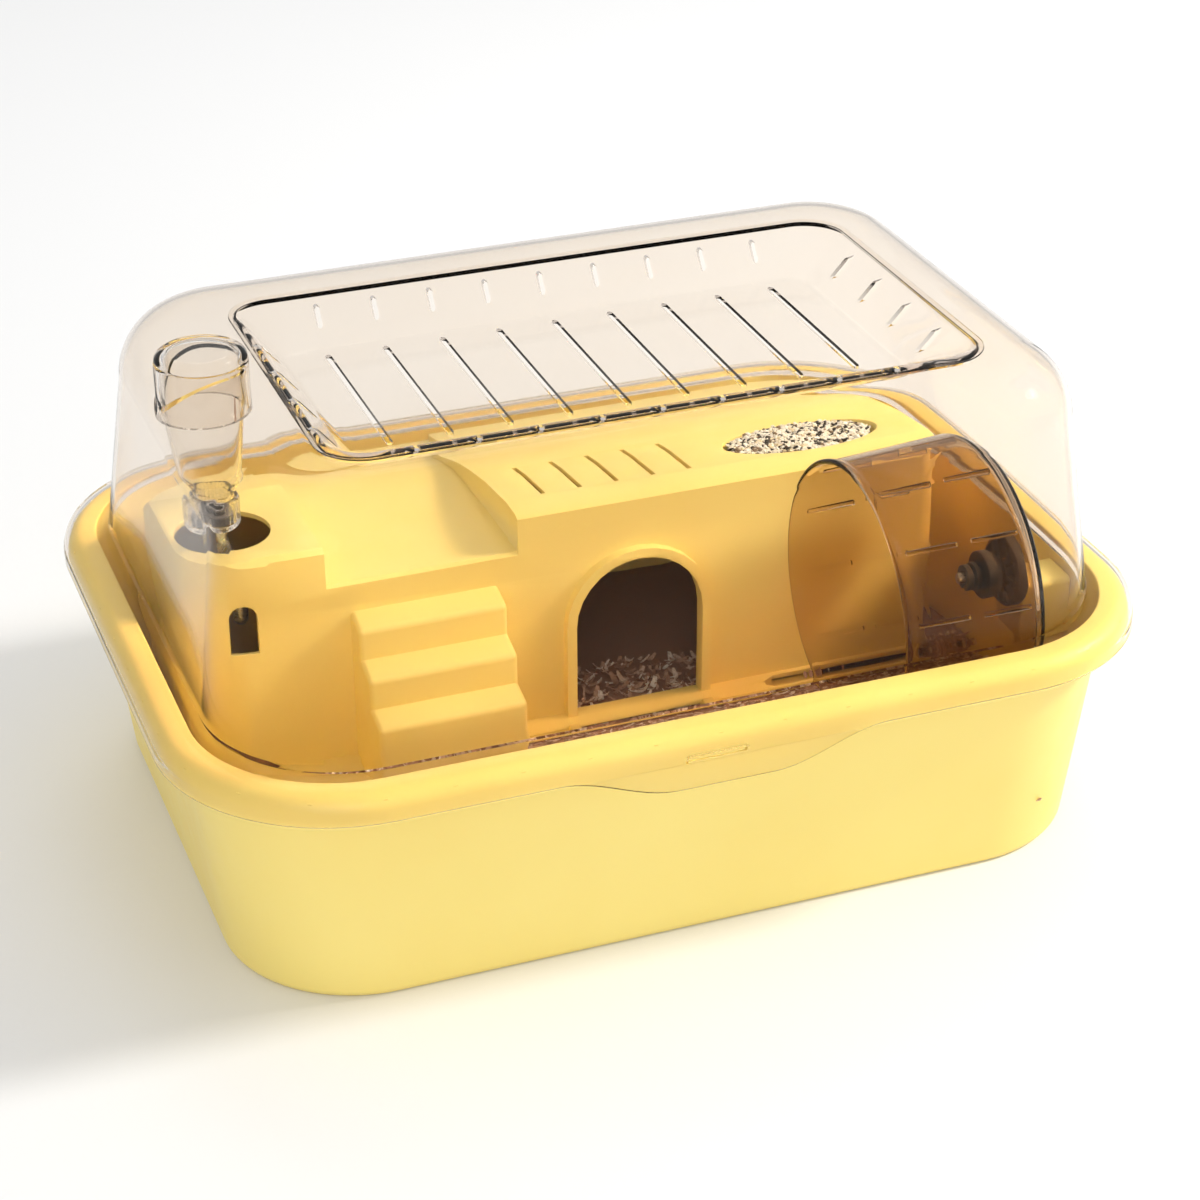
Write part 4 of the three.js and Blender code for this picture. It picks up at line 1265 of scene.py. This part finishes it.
finishPiece(makeBed("bed_open", "bedding_open", 0.4), "base", "bedding_open", woodShavings, 60)
finishPiece(makeBed("bed_house", "bedding_house", 0.5), "base", "bedding_house", woodShavings, 60)
openCurls = scatterBits(openBedTop(), curls, bedding["curlDensity"], 3, woodShavings, seed=bedding["seed"])
finishPiece(openCurls, "base", None, woodShavings, 50)
houseTop = prism("shavings_house", [(-20, 0), (80, 0), (84, 26), (40, 44), (-24, 30)], 28.2, 28.8)
work = bmesh.new()
work.from_mesh(houseTop.data)
bmesh.ops.delete(work, geom=[f for f in work.faces if f.normal.z < 0.5], context="FACES")
work.to_mesh(houseTop.data)
work.free()
houseCurls = scatterBits(houseTop, curls, bedding["houseDensity"], 3, woodShavings, seed=bedding["seed"] + 3)
finishPiece(houseCurls, "base", None, woodShavings, 50)
print("bedding made:", len(openCurls.data.polygons) + len(houseCurls.data.polygons), "faces")

dish = {
    "x": 127, "y": 34, "halfX": 39.2, "halfY": 18.4, "low": 133.9, "edge": 142.6, "crown": 2.4,
    "around": 48, "density": 560000, "seed": 8,
}


def makeSeedHeap(name, solid):
    turns = [2 * math.pi * k / dish["around"] for k in range(dish["around"])]

    def ellipse(share, z):
        a, b = share * dish["halfX"], share * dish["halfY"]
        return [(dish["x"] + a * math.cos(turn), dish["y"] + b * math.sin(turn), z) for turn in turns]

    rings = [ellipse(0.9, dish["low"]), ellipse(0.985, dish["edge"] - 0.8)] if solid else []
    for share in (0.97, 0.85, 0.65, 0.4, 0.15):
        rings.append(ellipse(share, dish["edge"] + dish["crown"] * (1 - share * share)))
    return skin(name, rings)


seedHeap = makeSeedHeap("seed_heap", True)
finishPiece(seedHeap, "platform", "seed_fill", seedMix, 60)
grains = bitsCollection("grains", [
    makeGrain("millet", 1.1, 1.0, 0.95), makeGrain("oat", 3.0, 1.0, 0.8), makeGrain("sunflower", 3.6, 1.6, 0.9),
    makeGrain("corn", 2.0, 1.8, 1.1, 7), makeGrain("husk", 2.4, 0.8, 0.6),
])
seedTop = makeSeedHeap("seed_mix_loose", False)
work = bmesh.new()
work.from_mesh(seedTop.data)
bmesh.ops.recalc_face_normals(work, faces=work.faces)
bmesh.ops.delete(work, geom=[f for f in work.faces if f.normal.z < 0.2], context="FACES")
work.to_mesh(seedTop.data)
work.free()
looseSeeds = scatterBits(seedTop, grains, dish["density"], 4, seedMix, sizes=(0.6, 1.0),
                         lean=math.radians(35), seed=dish["seed"])
finishPiece(looseSeeds, "platform", None, seedMix, 70)
print("seeds made:", len(looseSeeds.data.polygons), "faces")
for group in (curls, grains):
    for bit in list(group.objects):
        bpy.data.objects.remove(bit)
    bpy.data.collections.remove(group)

# stage, light and camera
stageSet = {
    "floorHalf": 6.0, "floorColour": (0.86, 0.86, 0.86), "sky": (0.96, 0.965, 0.97), "skyStrength": 0.7,
    "lamps": [
        ("keyLamp", (1.75, -0.4, 1.35), 0.4, 40, (1.0, 0.985, 0.95), False),
        ("fillLamp", (-0.9, -2.0, 0.9), 1.6, 11, (1.0, 0.99, 0.97), True),
        ("backLamp", (0.2, 1.6, 1.9), 1.2, 8, (1.0, 1.0, 1.0), False),
    ],
}


def makeStage():
    half = stageSet["floorHalf"]
    mesh = bpy.data.meshes.new("floor")
    corners = [(-half, -half, 0), (half, -half, 0), (half, half, 0), (-half, half, 0)]
    mesh.from_pydata(corners, [], [(0, 1, 2, 3)])
    floor = bpy.data.objects.new("floor", mesh)
    scene.collection.objects.link(floor)
    material, tree, body, end, place = newFinish("paleFloor")
    body.inputs["Base Color"].default_value = (*stageSet["floorColour"], 1)
    body.inputs["Roughness"].default_value = 0.75
    mesh.materials.append(material)
    world = bpy.data.worlds.new("softSky")
    scene.world = world
    world.use_nodes = True
    glow = world.node_tree.nodes["Background"]
    glow.inputs[0].default_value = (*stageSet["sky"], 1)
    glow.inputs[1].default_value = stageSet["skyStrength"]
    for name, spot, size, power, colour, gleam in stageSet["lamps"]:
        lamp = bpy.data.lights.new(name, "AREA")
        lamp.shape = "DISK"
        lamp.size = size
        lamp.energy = power
        lamp.color = colour
        thing = bpy.data.objects.new(name, lamp)
        scene.collection.objects.link(thing)
        thing.location = spot
        thing.visible_glossy = gleam
        thing.rotation_euler = (Vector((0, 0, 0.1)) - Vector(spot)).to_track_quat("-Z", "Y").to_euler()


cameraSet = {
    "azimuth": -19.72, "elevation": 28.61, "roll": -0.69, "distance": 1.41737,
    "target": (-0.00313, 0, 0.09277), "lens": 87.115, "shift": (0.01675, 0.00037),
}


def makeCamera():
    a, e, r = (math.radians(cameraSet[key]) for key in ("azimuth", "elevation", "roll"))
    back = Vector((math.sin(a) * math.cos(e), -math.cos(a) * math.cos(e), math.sin(e)))
    right = Vector((math.cos(a), math.sin(a), 0))
    up = back.cross(right)
    across = right * math.cos(r) + up * math.sin(r)
    upright = up * math.cos(r) - right * math.sin(r)
    data = bpy.data.cameras.new("camera")
    data.sensor_width = 36
    data.lens = cameraSet["lens"]
    data.shift_x, data.shift_y = cameraSet["shift"]
    data.clip_start, data.clip_end = 0.05, 50
    camera = bpy.data.objects.new("camera", data)
    scene.collection.objects.link(camera)
    spot = Vector(cameraSet["target"]) + back * cameraSet["distance"]
    turn = Matrix((across, upright, back)).transposed().to_4x4()
    camera.matrix_world = Matrix.Translation(spot) @ turn
    scene.camera = camera


makeStage()
makeCamera()
scene.view_settings.view_transform = "Standard"
print("stage set")
